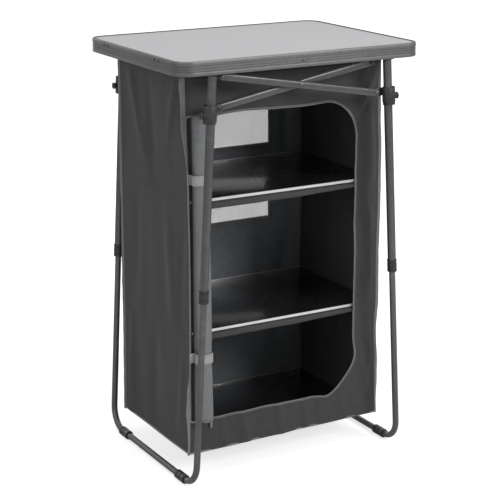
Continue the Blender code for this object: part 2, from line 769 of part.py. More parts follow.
def make_bar(front, first):
    """Crossed bar: a flat oval bar from a corner head down to the opposite slider."""
    way = 1 if first else -1
    top = (-way * TOP_PIVOT_X, TOP_PIVOT_Z)
    foot = (way * SLIDER_PIVOT_X, SLIDER_PIVOT_Z)
    y = bar_y(front, first)
    turns_at = top if first else (0.0, CROSS_Z)
    origin = Vector((turns_at[0], y, turns_at[1]))
    name = ("front" if front < 0 else "rear") + "_bar_" + ("a" if first else "b")
    bar = flat_piece(name, [capsule(top, foot, BAR_RADIUS)], BAR_THICKNESS, upright(y), BAR_EDGE)
    bar.data.transform(Matrix.Translation(-origin) @ bar.matrix_world)
    bar.matrix_world = Matrix.Translation(origin)
    for pivot in (top, (0.0, CROSS_Z), foot):
        combine(bar, pin_hole(pivot, front), "DIFFERENCE")
    return keep(bar, STEEL)


def make_cross_rivet(front):
    """Middle pivot of a pair of bars, with the spacer between them."""
    half = BAR_OFFSET + BAR_THICKNESS / 2 + GAP
    spacer = EAR_THICKNESS / 2
    shank = [(PIN_RADIUS, half), (PIN_RADIUS, spacer), (SPACER_RADIUS, spacer)]
    name = "cross_rivet_" + ("front" if front < 0 else "rear")
    matrix = aim((0.0, front * EAR_Y, CROSS_Z), (0.0, 1.0, 0.0))
    return keep(turned_piece(name, mirrored(dome(half) + shank), matrix, SMALL_STEPS), BARE_STEEL)


def leg_prism(name, side, front, low, high, radius, reach):
    """Block along a leg between two heights: round inboard, and round again at its outboard reach."""
    middle = (low + high) / 2
    height = (high - low) / math.cos(LEG_LEAN)
    outline = capsule((0.0, 0.0), (reach - radius, 0.0), radius, BORE_STEPS)
    return flat_piece(name, [outline], height, leg_matrix(side, front, middle))


def make_slider(side, front):
    """Plastic slider on a leg, with an ear for a bar's lower end and a boss for its lock.

    Its bore is long on the outboard side, so that the leg has play there.
    """
    name = "slider_" + corner_name(side, front)
    body = leg_prism(name, side, front, SLIDER_STEP_Z, SLIDER_TOP_Z, SLIDER_RADIUS, SLIDER_REACH)
    foot_top = SLIDER_STEP_Z + JOIN_DEPTH
    foot_reach = SLIDER_REACH - SLIDER_FOOT_STEP
    foot = leg_prism("slider_foot", side, front, SLIDER_BOTTOM_Z, foot_top, SLIDER_FOOT_RADIUS, foot_reach)
    combine(body, foot, "UNION")
    pivot = (side * SLIDER_PIVOT_X, SLIDER_PIVOT_Z)
    root = (side * (leg_x(SLIDER_PIVOT_Z) - SLIDER_EAR_ROOT), SLIDER_PIVOT_Z)
    ear = flat_piece("ear", [capsule(pivot, root, EAR_RADIUS)], EAR_THICKNESS, upright(front * EAR_Y))
    combine(body, ear, "UNION")
    seat = knob_point(side, front, SLIDER_REACH - BOSS_SEAT)
    boss = rod_object("boss", seat, knob_point(side, front, SLIDER_REACH + BOSS_HEIGHT), BOSS_RADIUS)
    combine(body, boss, "UNION")
    bore = (UPPER_RADIUS + GAP) / math.cos(math.pi / (2 * BORE_STEPS))
    below = SLIDER_BOTTOM_Z - JOIN_DEPTH
    above = SLIDER_TOP_Z + JOIN_DEPTH
    combine(body, leg_prism("bore", side, front, below, above, bore, BORE_PLAY + bore), "DIFFERENCE")
    start = knob_point(side, front, SLIDER_REACH - SLIDER_OUTER_WALL - JOIN_DEPTH)
    end = knob_point(side, front, SLIDER_REACH + BOSS_HEIGHT + JOIN_DEPTH)
    combine(body, rod_object("stem_hole", start, end, KNOB_STEM + GAP, SMALL_STEPS), "DIFFERENCE")
    combine(body, ear_pin(pivot, front, side > 0), "UNION")
    slider = settle(body)
    origin = Vector((pivot[0], front * EAR_Y, pivot[1]))
    slider.data.transform(Matrix.Translation(-origin) @ slider.matrix_world)
    slider.matrix_world = Matrix.Translation(origin)
    return keep(slider, BLACK_PLASTIC)


def knob_point(side, front, out):
    """Point on a lock knob's axis, at a distance outboard of the leg's axis."""
    return Vector((side * (leg_x(KNOB_Z) + out), front * LEG_Y, KNOB_Z))


def make_knob(side, front):
    """Pull knob of a slider's lock. Its stem stays just clear of the tube, as when it is drawn."""
    tip = SLIDER_REACH - SLIDER_OUTER_WALL + GAP - KNOB_FACE
    profile = [
        (0.0, KNOB_THICKNESS),
        (KNOB_RADIUS - KNOB_CHAMFER, KNOB_THICKNESS),
        (KNOB_RADIUS, KNOB_THICKNESS - KNOB_CHAMFER),
        (KNOB_RADIUS, KNOB_CHAMFER),
        (KNOB_RADIUS - KNOB_CHAMFER, 0.0),
        (KNOB_STEM, 0.0),
        (KNOB_STEM, tip),
        (0.0, tip),
    ]
    matrix = aim(knob_point(side, front, KNOB_FACE), (side, 0.0, 0.0))
    knob = turned_piece("lock_knob_" + corner_name(side, front), profile, matrix)
    return keep(knob, BLACK_PLASTIC)


def lower_path(side):
    """Centre line of a lower U tube: down the front leg, along the floor and up the rear leg."""
    top = UPPER_END_Z + LOWER_INSERT
    down = Vector((side * math.sin(LEG_LEAN), 0.0, -math.cos(LEG_LEAN)))
    start = Vector((side * leg_x(top), 0.0, top))
    length = (top - FLOOR_BAR_Z) / math.cos(LEG_LEAN)
    quarter = math.pi / 2
    turn = arc((LEG_Y - BEND_RADIUS, length - BEND_RADIUS), BEND_RADIUS, 0.0, quarter, CORNER_STEPS)
    half = [(LEG_Y, 0.0)] + turn
    plan = [(-y, drop) for y, drop in half] + list(reversed(half))
    return [start + down * drop + Vector((0.0, y, 0.0)) for y, drop in plan]


def make_lower_frame(side):
    """Lower U tube of a side frame, open at its two upper ends."""
    name = "lower_frame_" + side_name(side)
    curve = bpy.data.curves.new(name, "CURVE")
    curve.dimensions = "3D"
    curve.twist_mode = "MINIMUM"
    curve.bevel_depth = LOWER_RADIUS
    curve.bevel_resolution = 4
    points = lower_path(side)
    spline = curve.splines.new("POLY")
    spline.points.add(len(points) - 1)
    for place, point in zip(spline.points, points):
        place.co = (*point, 1.0)
    tube = settle(bpy.data.objects.new(name, curve))
    shell = tube.modifiers.new("wall", "SOLIDIFY")
    shell.thickness = LOWER_WALL
    shell.offset = -1.0
    return keep(settle(tube), STEEL)


def make_foot(side, front):
    """Foot sleeve round a floor bar, with a flat facet downwards as its sole."""
    corner = FOOT_RADIUS / math.cos(math.pi / ROUND_STEPS)
    bore = LOWER_RADIUS + GAP
    profile = [
        (corner, FOOT_LENGTH / 2),
        (corner, -FOOT_LENGTH / 2),
        (bore, -FOOT_LENGTH / 2),
        (bore, FOOT_LENGTH / 2),
    ]
    along = aim((side * leg_x(FLOOR_BAR_Z), front * FOOT_Y, FLOOR_BAR_Z), (0.0, 1.0, 0.0))
    matrix = along @ Matrix.Rotation(math.pi / ROUND_STEPS, 4, "Z")
    foot = turned_piece("foot_sleeve_" + corner_name(side, front), profile, matrix, closed=True)
    return keep(foot, BLACK_PLASTIC)


def height_share(z):
    """Position of a height between the two lines where the cloth is held: 0 and 1 at the lines."""
    lines = [CABINET_BOTTOM, *sorted(top - SHELF_THICKNESS for top in SHELF_TOPS), CABINET_TOP]
    for low, high in zip(lines, lines[1:]):
        if z <= high:
            return (z - low) / (high - low)
    return 1.0


def side_fold(depth_share, z):
    """How far a side wall hangs in at a place: it is held at its edges and at the shelves."""
    hold = math.sin(math.pi * depth_share) * math.sin(math.pi * height_share(z)) ** SIDE_HOLD
    ripple = math.sin(SIDE_RIPPLES * math.pi * depth_share + SIDE_SLANT * z)
    return SIDE_FOLD * max(hold, 0.0) * (1 - SIDE_RIPPLE_SHARE + SIDE_RIPPLE_SHARE * ripple)


def make_side_wall(side):
    """Side wall of the cabinet, with the soft folds that hang between the shelves."""
    front = CABINET_FRONT + CLOTH + GAP
    back = CABINET_BACK - CLOTH - GAP
    columns = spread(front, back, 10)
    rows = height_rows(5)

    def place(y, z):
        share = (y - front) / (back - front)
        return (side * (CABINET_HALF - side_fold(share, z)), y, z)

    if side < 0:
        columns = list(reversed(columns))
    wall = sheet_piece("cloth_wall_" + side_name(side), columns, rows, place, CLOTH)
    return keep(wall, CHARCOAL)


def height_rows(count):
    """Row heights of a wall: the held lines with even steps between them."""
    lines = [CABINET_BOTTOM, *sorted(top - SHELF_THICKNESS for top in SHELF_TOPS), CABINET_TOP]
    rows = []
    for low, high in zip(lines, lines[1:]):
        rows += spread(low, high, count)[:-1]
    return rows + [CABINET_TOP]


def front_fold(point, share):
    """How far the front's cloth stands out between the zip and the cabinet's edge.

    It stays flat at the seam that the door is sewn to.
    """
    if share <= FLAT_SHARE:
        return 0.0
    ripple = math.sin(FRONT_RIPPLE_Z * point[1] + FRONT_RIPPLE_X * point[0])
    depth = FRONT_FOLD * (1 - FRONT_RIPPLE_SHARE + FRONT_RIPPLE_SHARE * ripple)
    free = min(1.0, max(0.0, (point[0] - HINGE_X) / OPENING_CORNER))
    return depth * free * math.sin(math.pi * (share - FLAT_SHARE) / (1 - FLAT_SHARE))


def make_front():
    """Front of the cabinet: one cloth frame round the door opening, with its soft folds."""
    middle = (0.0, (OPENING_BOTTOM + OPENING_TOP) / 2)
    inner = side_steps(opening_outline())
    bm = bmesh.new()
    rings = []
    for share in [0.0] + spread(FLAT_SHARE, 1.0, 3):
        ring = []
        for point in inner:
            edge = cabinet_edge(point, middle)
            x = point[0] + (edge[0] - point[0]) * share
            z = point[1] + (edge[1] - point[1]) * share
            ring.append(bm.verts.new((x, CABINET_FRONT - front_fold((x, z), share), z)))
        rings.append(ring)
    count = len(inner)
    for first, second in zip(rings, rings[1:]):
        for k in range(count):
            m = (k + 1) % count
            bm.faces.new((first[k], second[k], second[m], first[m]))
    item = mesh_object("cloth_front", bm)
    shell = item.modifiers.new("cloth", "SOLIDIFY")
    shell.thickness = CLOTH
    shell.offset = -1.0
    return keep(settle(item), CHARCOAL)


def side_steps(opening):
    """The opening's outline with points added on its long straight sides."""
    points = []
    for first, second in zip(opening, opening[1:] + opening[:1]):
        start = Vector(first)
        end = Vector(second)
        count = max(1, round((end - start).length / FRONT_STEP))
        points += [start.lerp(end, i / count)[:] for i in range(count)]
    return points


def cabinet_edge(point, middle):
    """Point of the front's outer edge that belongs to a point of the opening's edge."""
    corner = OPENING_CORNER if point[0] > 0 else HINGE_CORNER
    left = HINGE_X + HINGE_CORNER
    right = OPENING_RIGHT - OPENING_CORNER
    rise = (OPENING_TOP - OPENING_BOTTOM) / 2 - corner
    dx = point[0] - max(left, min(right, point[0]))
    dz = point[1] - middle[1] - max(-rise, min(rise, point[1] - middle[1]))
    far_x = CABINET_HALF if dx > 0 else -CABINET_HALF
    far_z = CABINET_TOP if dz > 0 else CABINET_BOTTOM
    if abs(dz) < 1e-9:
        return (far_x, point[1])
    if abs(dx) < 1e-9:
        return (point[0], far_z)
    turn = math.atan2(abs(dz), abs(dx)) / (math.pi / 2)
    corner_x = right if dx > 0 else left
    corner_z = middle[1] + math.copysign(rise, dz)
    if turn <= 0.5:
        return (far_x, corner_z + (far_z - corner_z) * turn * 2)
    return (corner_x + (far_x - corner_x) * (2 - turn * 2), far_z)


def in_window(x, z):
    """Whether a place on the back lies in one of its net windows."""
    if abs(x) > WINDOW_HALF:
        return False
    return any(low < z < high for low, high in (WINDOW_LOW, WINDOW_HIGH))


def make_back():
    """Back wall of the cabinet, with its two window holes."""
    columns = spread(-CABINET_HALF, -WINDOW_HALF, 2)[:-1]
    columns += spread(-WINDOW_HALF, WINDOW_HALF, 4)[:-1]
    columns += spread(WINDOW_HALF, CABINET_HALF, 2)
    marks = [CABINET_BOTTOM, *WINDOW_LOW, *WINDOW_HIGH, CABINET_TOP]
    counts = (5, 2, 1, 2, 2)
    rows = []
    for low, high, count in zip(marks, marks[1:], counts):
        rows += spread(low, high, count)[:-1]
    rows.append(CABINET_TOP)

    def place(x, z):
        share = (z - CABINET_BOTTOM) / (WINDOW_LOW[0] - CABINET_BOTTOM)
        width = math.sin(math.pi * (x + CABINET_HALF) / (2 * CABINET_HALF))
        fold = BACK_FOLD * math.sin(math.pi * min(share, 1.0)) * width
        return (x, CABINET_BACK - max(fold, 0.0), z)

    wall = sheet_piece("cloth_back", list(reversed(columns)), rows, place, CLOTH, in_window)
    return keep(wall, CHARCOAL)


def make_window_net(name, low, high):
    """Net panel sewn over a window hole, on the outside of the back."""
    half = WINDOW_HALF + MESH_MARGIN
    start = (-half, CABINET_BACK + GAP, low - MESH_MARGIN)
    end = (half, CABINET_BACK + GAP + MESH_THICKNESS, high + MESH_MARGIN)
    return keep(box_object("window_net_" + name, start, end), NETTING)


def inner_box(name, low_z, high_z, material):
    """Flat cloth or board that fills the cabinet from wall to wall."""
    half = CABINET_HALF - CLOTH - GAP
    low = (-half, CABINET_FRONT + CLOTH + GAP, low_z)
    high = (half, CABINET_BACK - CLOTH - GAP, high_z)
    return keep(box_object(name, low, high), material)


def make_binding():
    """Bound seams in one piece: a wavy flange down each upright edge, and the hem round the bottom."""
    half = CABINET_HALF + GAP + HEM_OVERLAP
    outer = rounded_rectangle(-half, half, CABINET_FRONT - GAP, CABINET_BACK + GAP, HEM_CORNER, 2)
    inner_half = CABINET_HALF - HEM_WIDTH
    inner_front = CABINET_FRONT + HEM_WIDTH
    inner = rounded_rectangle(-inner_half, inner_half, inner_front, CABINET_BACK - HEM_WIDTH, HEM_CORNER, 2)
    middle = CABINET_BOTTOM - GAP - HEM_HEIGHT / 2
    binding = flat_piece("edge_binding", [outer, inner], HEM_HEIGHT, Matrix.Translation((0.0, 0.0, middle)))
    for side in (-1, 1):
        for front in (-1, 1):
            combine(binding, flange(side, front, middle), "UNION")
    return keep(binding, GREY_CLOTH)


def flange(side, front, bottom):
    """Seam flange that stands outboard from an upright edge and waves a little."""
    edge = CABINET_FRONT if front < 0 else CABINET_BACK
    rows = spread(bottom, CABINET_TOP, 22)
    columns = [0.0, 1.0]

    def place(out, z):
        share = (z - bottom) / (CABINET_TOP - bottom)
        wave = FLANGE_WAVE * math.sin(FLANGE_WAVE_RATE * z + 2 * front) * out
        width = FLANGE_WIDTH * (1 - FLANGE_TRIM + FLANGE_TRIM * math.sin(FLANGE_TRIM_RATE * z + side))
        x = side * (CABINET_HALF + GAP + width * out)
        y = edge - front * FLANGE_THICKNESS / 2 + wave * math.sin(math.pi * share)
        return (x, y, z)

    return sheet_piece("flange", columns, rows, place, FLANGE_THICKNESS, middle=True)


def make_zip():
    """Tape round the door opening: the zip, and the seam at the left that the door is sewn to."""
    y = CABINET_FRONT - GAP - ZIP_THICKNESS / 2
    loops = [opening_outline(ZIP_WIDTH), opening_outline()]
    return keep(flat_piece("opening_zip", loops, ZIP_THICKNESS, upright(y)), GREY_CLOTH)


def roll_center(z):
    """Middle of the rolled door at a height."""
    share = (z - ROLL_BOTTOM[2]) / (ROLL_TOP[2] - ROLL_BOTTOM[2])
    return Vector(ROLL_BOTTOM).lerp(Vector(ROLL_TOP), share)


def make_roll():
    """Door cloth rolled up beside the opening: one spiral sheet."""
    turns = spread(0.0, ROLL_TURNS * 2 * math.pi, ROLL_TURNS * 13)
    rows = spread(ROLL_BOTTOM[2], ROLL_TOP[2], 6)

    def place(angle, z):
        center = roll_center(z)
        growth = angle / turns[-1]
        radius = ROLL_CORE + (ROLL_RADIUS - ROLL_CORE) * growth
        slack = 1.0 - ROLL_SLACK * growth * (1.0 + math.sin(ROLL_SLACK_RATE * z))
        x = center.x + radius * slack * ROLL_WIDE * math.cos(angle)
        y = center.y + radius * slack * math.sin(angle)
        return (x, y, z)

    roll = sheet_piece("door_roll", turns, rows, place, ROLL_CLOTH)
    return keep(roll, GREY_CLOTH)


def make_strap(name, z):
    """Strap that holds the rolled door. Its tail lies on the tape of the seam that the door is sewn to."""
    center = roll_center(z)
    inside = (ROLL_RADIUS + STRAP_PLAY) / math.cos(math.pi / STRAP_STEPS)
    across = (ROLL_RADIUS * ROLL_WIDE + STRAP_PLAY) / math.cos(math.pi / STRAP_STEPS)
    middle = (center.x, center.y)
    loops = []
    for layer in (STRAP_THICKNESS, 0.0):
        stretch = (across + layer) / (inside + layer)
        ring = circle((0.0, 0.0), inside + layer, STRAP_STEPS)
        loops.append([(middle[0] + x * stretch, middle[1] + y) for x, y in ring])
    band = flat_piece("door_strap_" + name, loops, STRAP_HEIGHT, Matrix.Translation((0.0, 0.0, z)))
    low = (HINGE_X - STRAP_SEAM, center.y + inside, z - STRAP_HEIGHT / 2)
    high = (center.x - STRAP_TAIL, CABINET_FRONT - 2 * GAP - ZIP_THICKNESS, z + STRAP_HEIGHT / 2)
    combine(band, box_object("tail", low, high), "UNION")
    return keep(band, GREY_CLOTH)


def make_sleeve(side):
    """Webbing sleeve round a side tube, which hangs the cabinet's roof from it."""
    x = side * LEG_X_AT_RIM
    inside = UPPER_RADIUS + GAP
    outside = inside + SLEEVE_THICKNESS
    loops = [circle((x, SIDE_TUBE_Z), outside, 20), circle((x, SIDE_TUBE_Z), inside, 20)]
    band = flat_piece("hanging_sleeve_" + side_name(side), loops, SLEEVE_LENGTH, upright(0.0))
    low = (x - SLEEVE_THICKNESS, -SLEEVE_LENGTH / 2, CABINET_TOP + GAP)
    high_z = SIDE_TUBE_Z - inside - SLEEVE_THICKNESS / 3
    high = (x + SLEEVE_THICKNESS, SLEEVE_LENGTH / 2, high_z)
    combine(band, box_object("tail", low, high), "UNION")
    return keep(band, WEBBING)


def make_shelf(name, top):
    """Loose shelf board with its bright front trim."""
    loop = rounded_rectangle(-SHELF_HALF, SHELF_HALF, SHELF_FRONT, SHELF_BACK, SHELF_CORNER, 2)
    matrix = Matrix.Translation((0.0, 0.0, top - SHELF_THICKNESS / 2))
    keep(flat_piece("shelf_board_" + name, [loop], SHELF_THICKNESS, matrix), GLOSS_BLACK)
    low = (SHELF_CORNER - SHELF_HALF, SHELF_FRONT - GAP - TRIM_THICKNESS, top - TRIM_HEIGHT)
    high = (SHELF_HALF - SHELF_CORNER, SHELF_FRONT - GAP, top)
    keep(box_object("shelf_trim_" + name, low, high, TRIM_ROUND), WHITE_TRIM)


def make_sling(name, top):
    """Cloth sling sewn from wall to wall, which carries a shelf board, with a band along its front."""
    half = CABINET_HALF - CLOTH - GAP
    front = CABINET_FRONT + CLOTH + 2 * GAP
    under = top - SHELF_THICKNESS - GAP
    low = (-half, front, under - CLOTH)
    high = (half, CABINET_BACK - CLOTH - BACK_FOLD - GAP, under)
    sling = box_object("shelf_sling_" + name, low, high)
    band_low = (-half, front, under - SLING_BAND)
    band_high = (half, front + CLOTH, under - CLOTH / 2)
    combine(sling, box_object("band", band_low, band_high), "UNION")
    return keep(sling, CHARCOAL)


make_panel()
make_rim()
make_rail(-1)
make_rail(1)

for half in (-1, 1):
    for end in (-1, 1):
        make_corner_head(half, end)
        make_upper_leg(half, end)
        make_collar(half, end)
        make_slider(half, end)
        make_knob(half, end)
        make_foot(half, end)
    make_side_tube(half)
    make_lower_frame(half)

for end in (-1, 1):
    make_bar(end, True)
    make_bar(end, False)
    make_cross_rivet(end)

for half in (-1, 1):
    make_side_wall(half)
    make_sleeve(half)
make_front()
make_back()
make_window_net("lower", *WINDOW_LOW)
make_window_net("upper", *WINDOW_HIGH)
inner_box("cloth_roof", CABINET_TOP - CLOTH, CABINET_TOP, CHARCOAL)
inner_box("cloth_floor", CABINET_BOTTOM, CABINET_BOTTOM + CLOTH, CHARCOAL)
make_binding()
make_zip()
make_roll()
make_strap("upper", ROLL_TOP[2] - STRAP_UPPER_DROP)
make_strap("lower", SHELF_TOPS[1] - STRAP_LOWER_DROP)

for level, height in zip(("upper", "lower"), SHELF_TOPS):
    make_shelf(level, height)
    make_sling(level, height)
base_low = CABINET_BOTTOM + CLOTH + GAP
inner_box("base_board", base_low, base_low + BASE_THICKNESS, GLOSS_BLACK)
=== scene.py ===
import math

import bmesh
import bpy
from mathutils import Matrix, Quaternion, Vector, noise


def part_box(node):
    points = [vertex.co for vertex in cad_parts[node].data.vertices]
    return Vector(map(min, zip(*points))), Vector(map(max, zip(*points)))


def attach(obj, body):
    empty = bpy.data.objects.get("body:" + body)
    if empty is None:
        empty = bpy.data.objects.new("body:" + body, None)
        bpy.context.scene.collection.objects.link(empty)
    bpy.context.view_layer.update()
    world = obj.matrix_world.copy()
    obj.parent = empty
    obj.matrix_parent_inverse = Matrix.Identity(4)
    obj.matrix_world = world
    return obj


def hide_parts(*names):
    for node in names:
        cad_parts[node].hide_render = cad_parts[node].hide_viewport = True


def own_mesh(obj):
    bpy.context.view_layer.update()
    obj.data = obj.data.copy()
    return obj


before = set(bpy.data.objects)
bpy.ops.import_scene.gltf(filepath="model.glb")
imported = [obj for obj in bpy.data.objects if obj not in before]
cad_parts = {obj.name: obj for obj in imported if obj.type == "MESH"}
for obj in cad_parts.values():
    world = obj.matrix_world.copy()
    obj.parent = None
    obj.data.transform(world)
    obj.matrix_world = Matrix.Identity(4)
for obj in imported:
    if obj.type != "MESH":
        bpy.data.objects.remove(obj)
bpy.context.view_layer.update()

scene = bpy.context.scene


# Camera. It stands to the front left of the unit and a little above it, as the photographer did.
# Its place, aim, roll and lens were fitted to the board, the legs and the feet.
def add_object(name, data):
    """Object of a mesh, a lamp or a camera, in the scene."""
    thing = bpy.data.objects.new(name, data)
    scene.collection.objects.link(thing)
    return thing


camera_place = Vector((-1.6948, -2.9718, 1.4252))
camera_aim = Vector((-0.0055, 0.0031, 0.4623))
camera_roll = math.radians(-0.13)
camera = add_object("camera", bpy.data.cameras.new("camera"))
camera.data.sensor_width = 36.0
camera.data.lens = 110.65
camera.location = camera_place
camera.rotation_mode = "QUATERNION"
level_turn = (camera_aim - camera_place).to_track_quat("-Z", "Y")
camera.rotation_quaternion = level_turn @ Quaternion((0.0, 0.0, 1.0), camera_roll)
scene.camera = camera
scene.view_settings.view_transform = "Standard"


# Studio. A white floor runs into a white surround, and large soft lamps stand at both sides, above and behind.
# The world shows white to the camera and a little less to reflections, and lights the unit more weakly.
def feed(tree, node, inputs):
    """Give a node its inputs. A socket is linked to the input, and any other value is set on it."""
    for key, value in inputs.items():
        if isinstance(value, bpy.types.NodeSocket):
            tree.links.new(value, node.inputs[key])
        else:
            node.inputs[key].default_value = value


def add_node(tree, kind, inputs=None, **settings):
    """Add a node with its settings and inputs, and return its outputs."""
    node = tree.nodes.new(kind)
    for key, value in settings.items():
        setattr(node, key, value)
    feed(tree, node, inputs or {})
    return node.outputs


def calc(tree, operation, *values):
    """Add a Math node and return its result."""
    return add_node(tree, "ShaderNodeMath", dict(enumerate(values)), operation=operation)[0]


def new_finish(name, color, roughness, **plain):
    """Principled material with its plain values on the shader's own sockets. Returns it, its tree and its shader."""
    material = bpy.data.materials.new(name)
    material.use_nodes = True
    tree = material.node_tree
    shader = tree.nodes["Principled BSDF"]
    feed(tree, shader, {"Base Color": (*color, 1.0), "Roughness": roughness})
    feed(tree, shader, {key.replace("_", " ").title().replace("Ior", "IOR"): value for key, value in plain.items()})
    return material, tree, shader


fill_level = 0.22
reflection_level = 0.75
scene.world = bpy.data.worlds.new("studio_surround")
scene.world.use_nodes = True
tree = scene.world.node_tree
seen = add_node(tree, "ShaderNodeLightPath")
reflected = calc(tree, "MAXIMUM", seen["Is Glossy Ray"], seen["Is Transmission Ray"])
shown = calc(tree, "MAXIMUM", seen["Is Camera Ray"], calc(tree, "MULTIPLY", reflected, reflection_level))
level = calc(tree, "MAXIMUM", shown, fill_level)
feed(tree, tree.nodes["Background"], {"Color": (1.0, 1.0, 1.0, 1.0), "Strength": level})

floor_reach = 15.0
shadow_radius = 0.6
white_radius = 3.0
near_glow = 0.70
floor_white, tree, shader = new_finish("studio_white", (0.9, 0.9, 0.9), 0.8, specular_ior_level=0.1)
camera_ray = add_node(tree, "ShaderNodeLightPath")["Is Camera Ray"]
place = add_node(tree, "ShaderNodeTexCoord")["Object"]
away = add_node(tree, "ShaderNodeVectorMath", {0: place}, operation="LENGTH")["Value"]
runs_out = add_node(tree, "ShaderNodeMapRange", {0: away, 1: shadow_radius, 2: white_radius, 3: near_glow, 4: 1.0})[0]
glow = add_node(tree, "ShaderNodeEmission", {"Strength": calc(tree, "MULTIPLY", camera_ray, runs_out)})[0]
both = add_node(tree, "ShaderNodeAddShader", {0: shader.outputs[0], 1: glow})[0]
feed(tree, tree.nodes["Material Output"], {"Surface": both})
floor = add_object("studio_floor", bpy.data.meshes.new("studio_floor"))
floor_corners = [(x * floor_reach, y * floor_reach, 0.0) for x, y in ((-1, -1), (1, -1), (1, 1), (-1, 1))]
floor.data.from_pydata(floor_corners, [], [(0, 1, 2, 3)])
floor.data.materials.append(floor_white)

unit_middle = Vector((0.0, 0.0, 0.5))
for name, lamp_place, size, power in (
    ("lamp_right", (1.35, -2.95, 2.1), 1.2, 45.0),
    ("lamp_left", (-3.2, -1.6, 1.9), 1.4, 14.0),
    ("lamp_above", (0.0, -0.2, 3.4), 2.0, 31.0),
    ("lamp_behind", (-0.15, 3.15, 0.95), 1.6, 16.0),
):
    lamp = add_object(name, bpy.data.lights.new(name, "AREA"))
    lamp.data.size = size
    lamp.data.energy = power
    lamp.location = lamp_place
    lamp.rotation_euler = (unit_middle - lamp.location).to_track_quat("-Z", "Y").to_euler()


# Table board. A wood panel with a pale satin laminate lies in a bent strip of dark ribbed metal edging.
# The strip's ends meet at the front beside a rivet, and screws hold it at both short sides.
def new_group(name, kind, inputs, outputs):
    """Node group with (label, kind, default) inputs and (label, kind) outputs. An input may go without a default.

    Returns the group, the sockets it is given, its end node and its inputs' keys.
    """
    tree = bpy.data.node_groups.new(name, kind)
    keys = {}
    for label, socket, *value in inputs:
        added = tree.interface.new_socket(label, in_out="INPUT", socket_type="NodeSocket" + socket)
        keys[label] = added.identifier
        if value:
            added.default_value = value[0]
    for label, socket in outputs:
        tree.interface.new_socket(label, in_out="OUTPUT", socket_type="NodeSocket" + socket)
    return tree, tree.nodes.new("NodeGroupInput").outputs, tree.nodes.new("NodeGroupOutput"), keys


def speckle(tree, place, stretch, scale, detail):
    """Noise over places that are stretched first."""
    spread = add_node(tree, "ShaderNodeVectorMath", {0: place, 1: stretch}, operation="MULTIPLY")[0]
    return add_node(tree, "ShaderNodeTexNoise", {"Vector": spread, "Scale": scale, "Detail": detail})[0]


def scaled(tree, vector, factor):
    """Vector or colour times a factor."""
    return add_node(tree, "ShaderNodeVectorMath", {0: vector, "Scale": factor}, operation="SCALE")[0]


def mixed(tree, factor, first, second):
    """Mix of two colours."""
    return add_node(tree, "ShaderNodeMix", {0: factor, 6: first, 7: second}, data_type="RGBA")[2]


def make_uneven_tone():
    """Effect: a colour that is a little lighter and darker in soft patches."""
    inputs = [("Color", "Color"), ("Patches", "Float"), ("Amount", "Float"), ("Stretch", "Vector", (1.0, 1.0, 1.0))]
    outputs = [("Color", "Color"), ("Patch", "Float")]
    tree, given, end, keys = new_group("uneven_tone", "ShaderNodeTree", inputs, outputs)
    patch = speckle(tree, add_node(tree, "ShaderNodeTexCoord")["Object"], given["Stretch"], given["Patches"], 4.0)
    swing = calc(tree, "MULTIPLY", calc(tree, "SUBTRACT", patch, 0.5), given["Amount"])
    tinted = scaled(tree, given["Color"], calc(tree, "MULTIPLY_ADD", swing, 2.0, 1.0))
    feed(tree, end, {"Color": tinted, "Patch": patch})
    return tree


def make_fine_grain():
    """Effect: the height of a fine grain, such as orange peel, moulded texture or drawn lines."""
    inputs = [("Fineness", "Float"), ("Stretch", "Vector")]
    tree, given, end, keys = new_group("fine_grain", "ShaderNodeTree", inputs, [("Height", "Float")])
    grain = speckle(tree, add_node(tree, "ShaderNodeTexCoord")["Object"], given["Stretch"], given["Fineness"], 2.0)
    feed(tree, end, {"Height": grain})
    return tree


def make_rubbed_edges():
    """Effect: a mask of the raised edges that hands and bags rub."""
    inputs = [("Reach", "Float"), ("Broken", "Float")]
    tree, given, end, keys = new_group("rubbed_edges", "ShaderNodeTree", inputs, [("Mask", "Float")])
    sharp = add_node(tree, "ShaderNodeNewGeometry")["Pointiness"]
    broken = speckle(tree, add_node(tree, "ShaderNodeTexCoord")["Object"], (1.0, 1.0, 1.0), given["Broken"], 5.0)
    raised = calc(tree, "DIVIDE", calc(tree, "SUBTRACT", sharp, 0.5), given["Reach"])
    worn = calc(tree, "MULTIPLY", raised, calc(tree, "POWER", broken, 2.0))
    feed(tree, end, {"Mask": add_node(tree, "ShaderNodeClamp", {"Value": worn})[0]})
    return tree


uneven_tone = make_uneven_tone()
fine_grain = make_fine_grain()
rubbed_edges = make_rubbed_edges()


def add_effect(tree, effect, **inputs):
    """Place an effect's group in a material and return its outputs."""
    return add_node(tree, "ShaderNodeGroup", inputs, node_tree=effect)


def join_bump(tree, shader, height, depth):
    """Feed a height in metres to the shader's normal."""
    bump = add_node(tree, "ShaderNodeBump", {"Height": height, "Distance": depth, "Strength": 1.0})
    feed(tree, shader, {"Normal": bump["Normal"]})


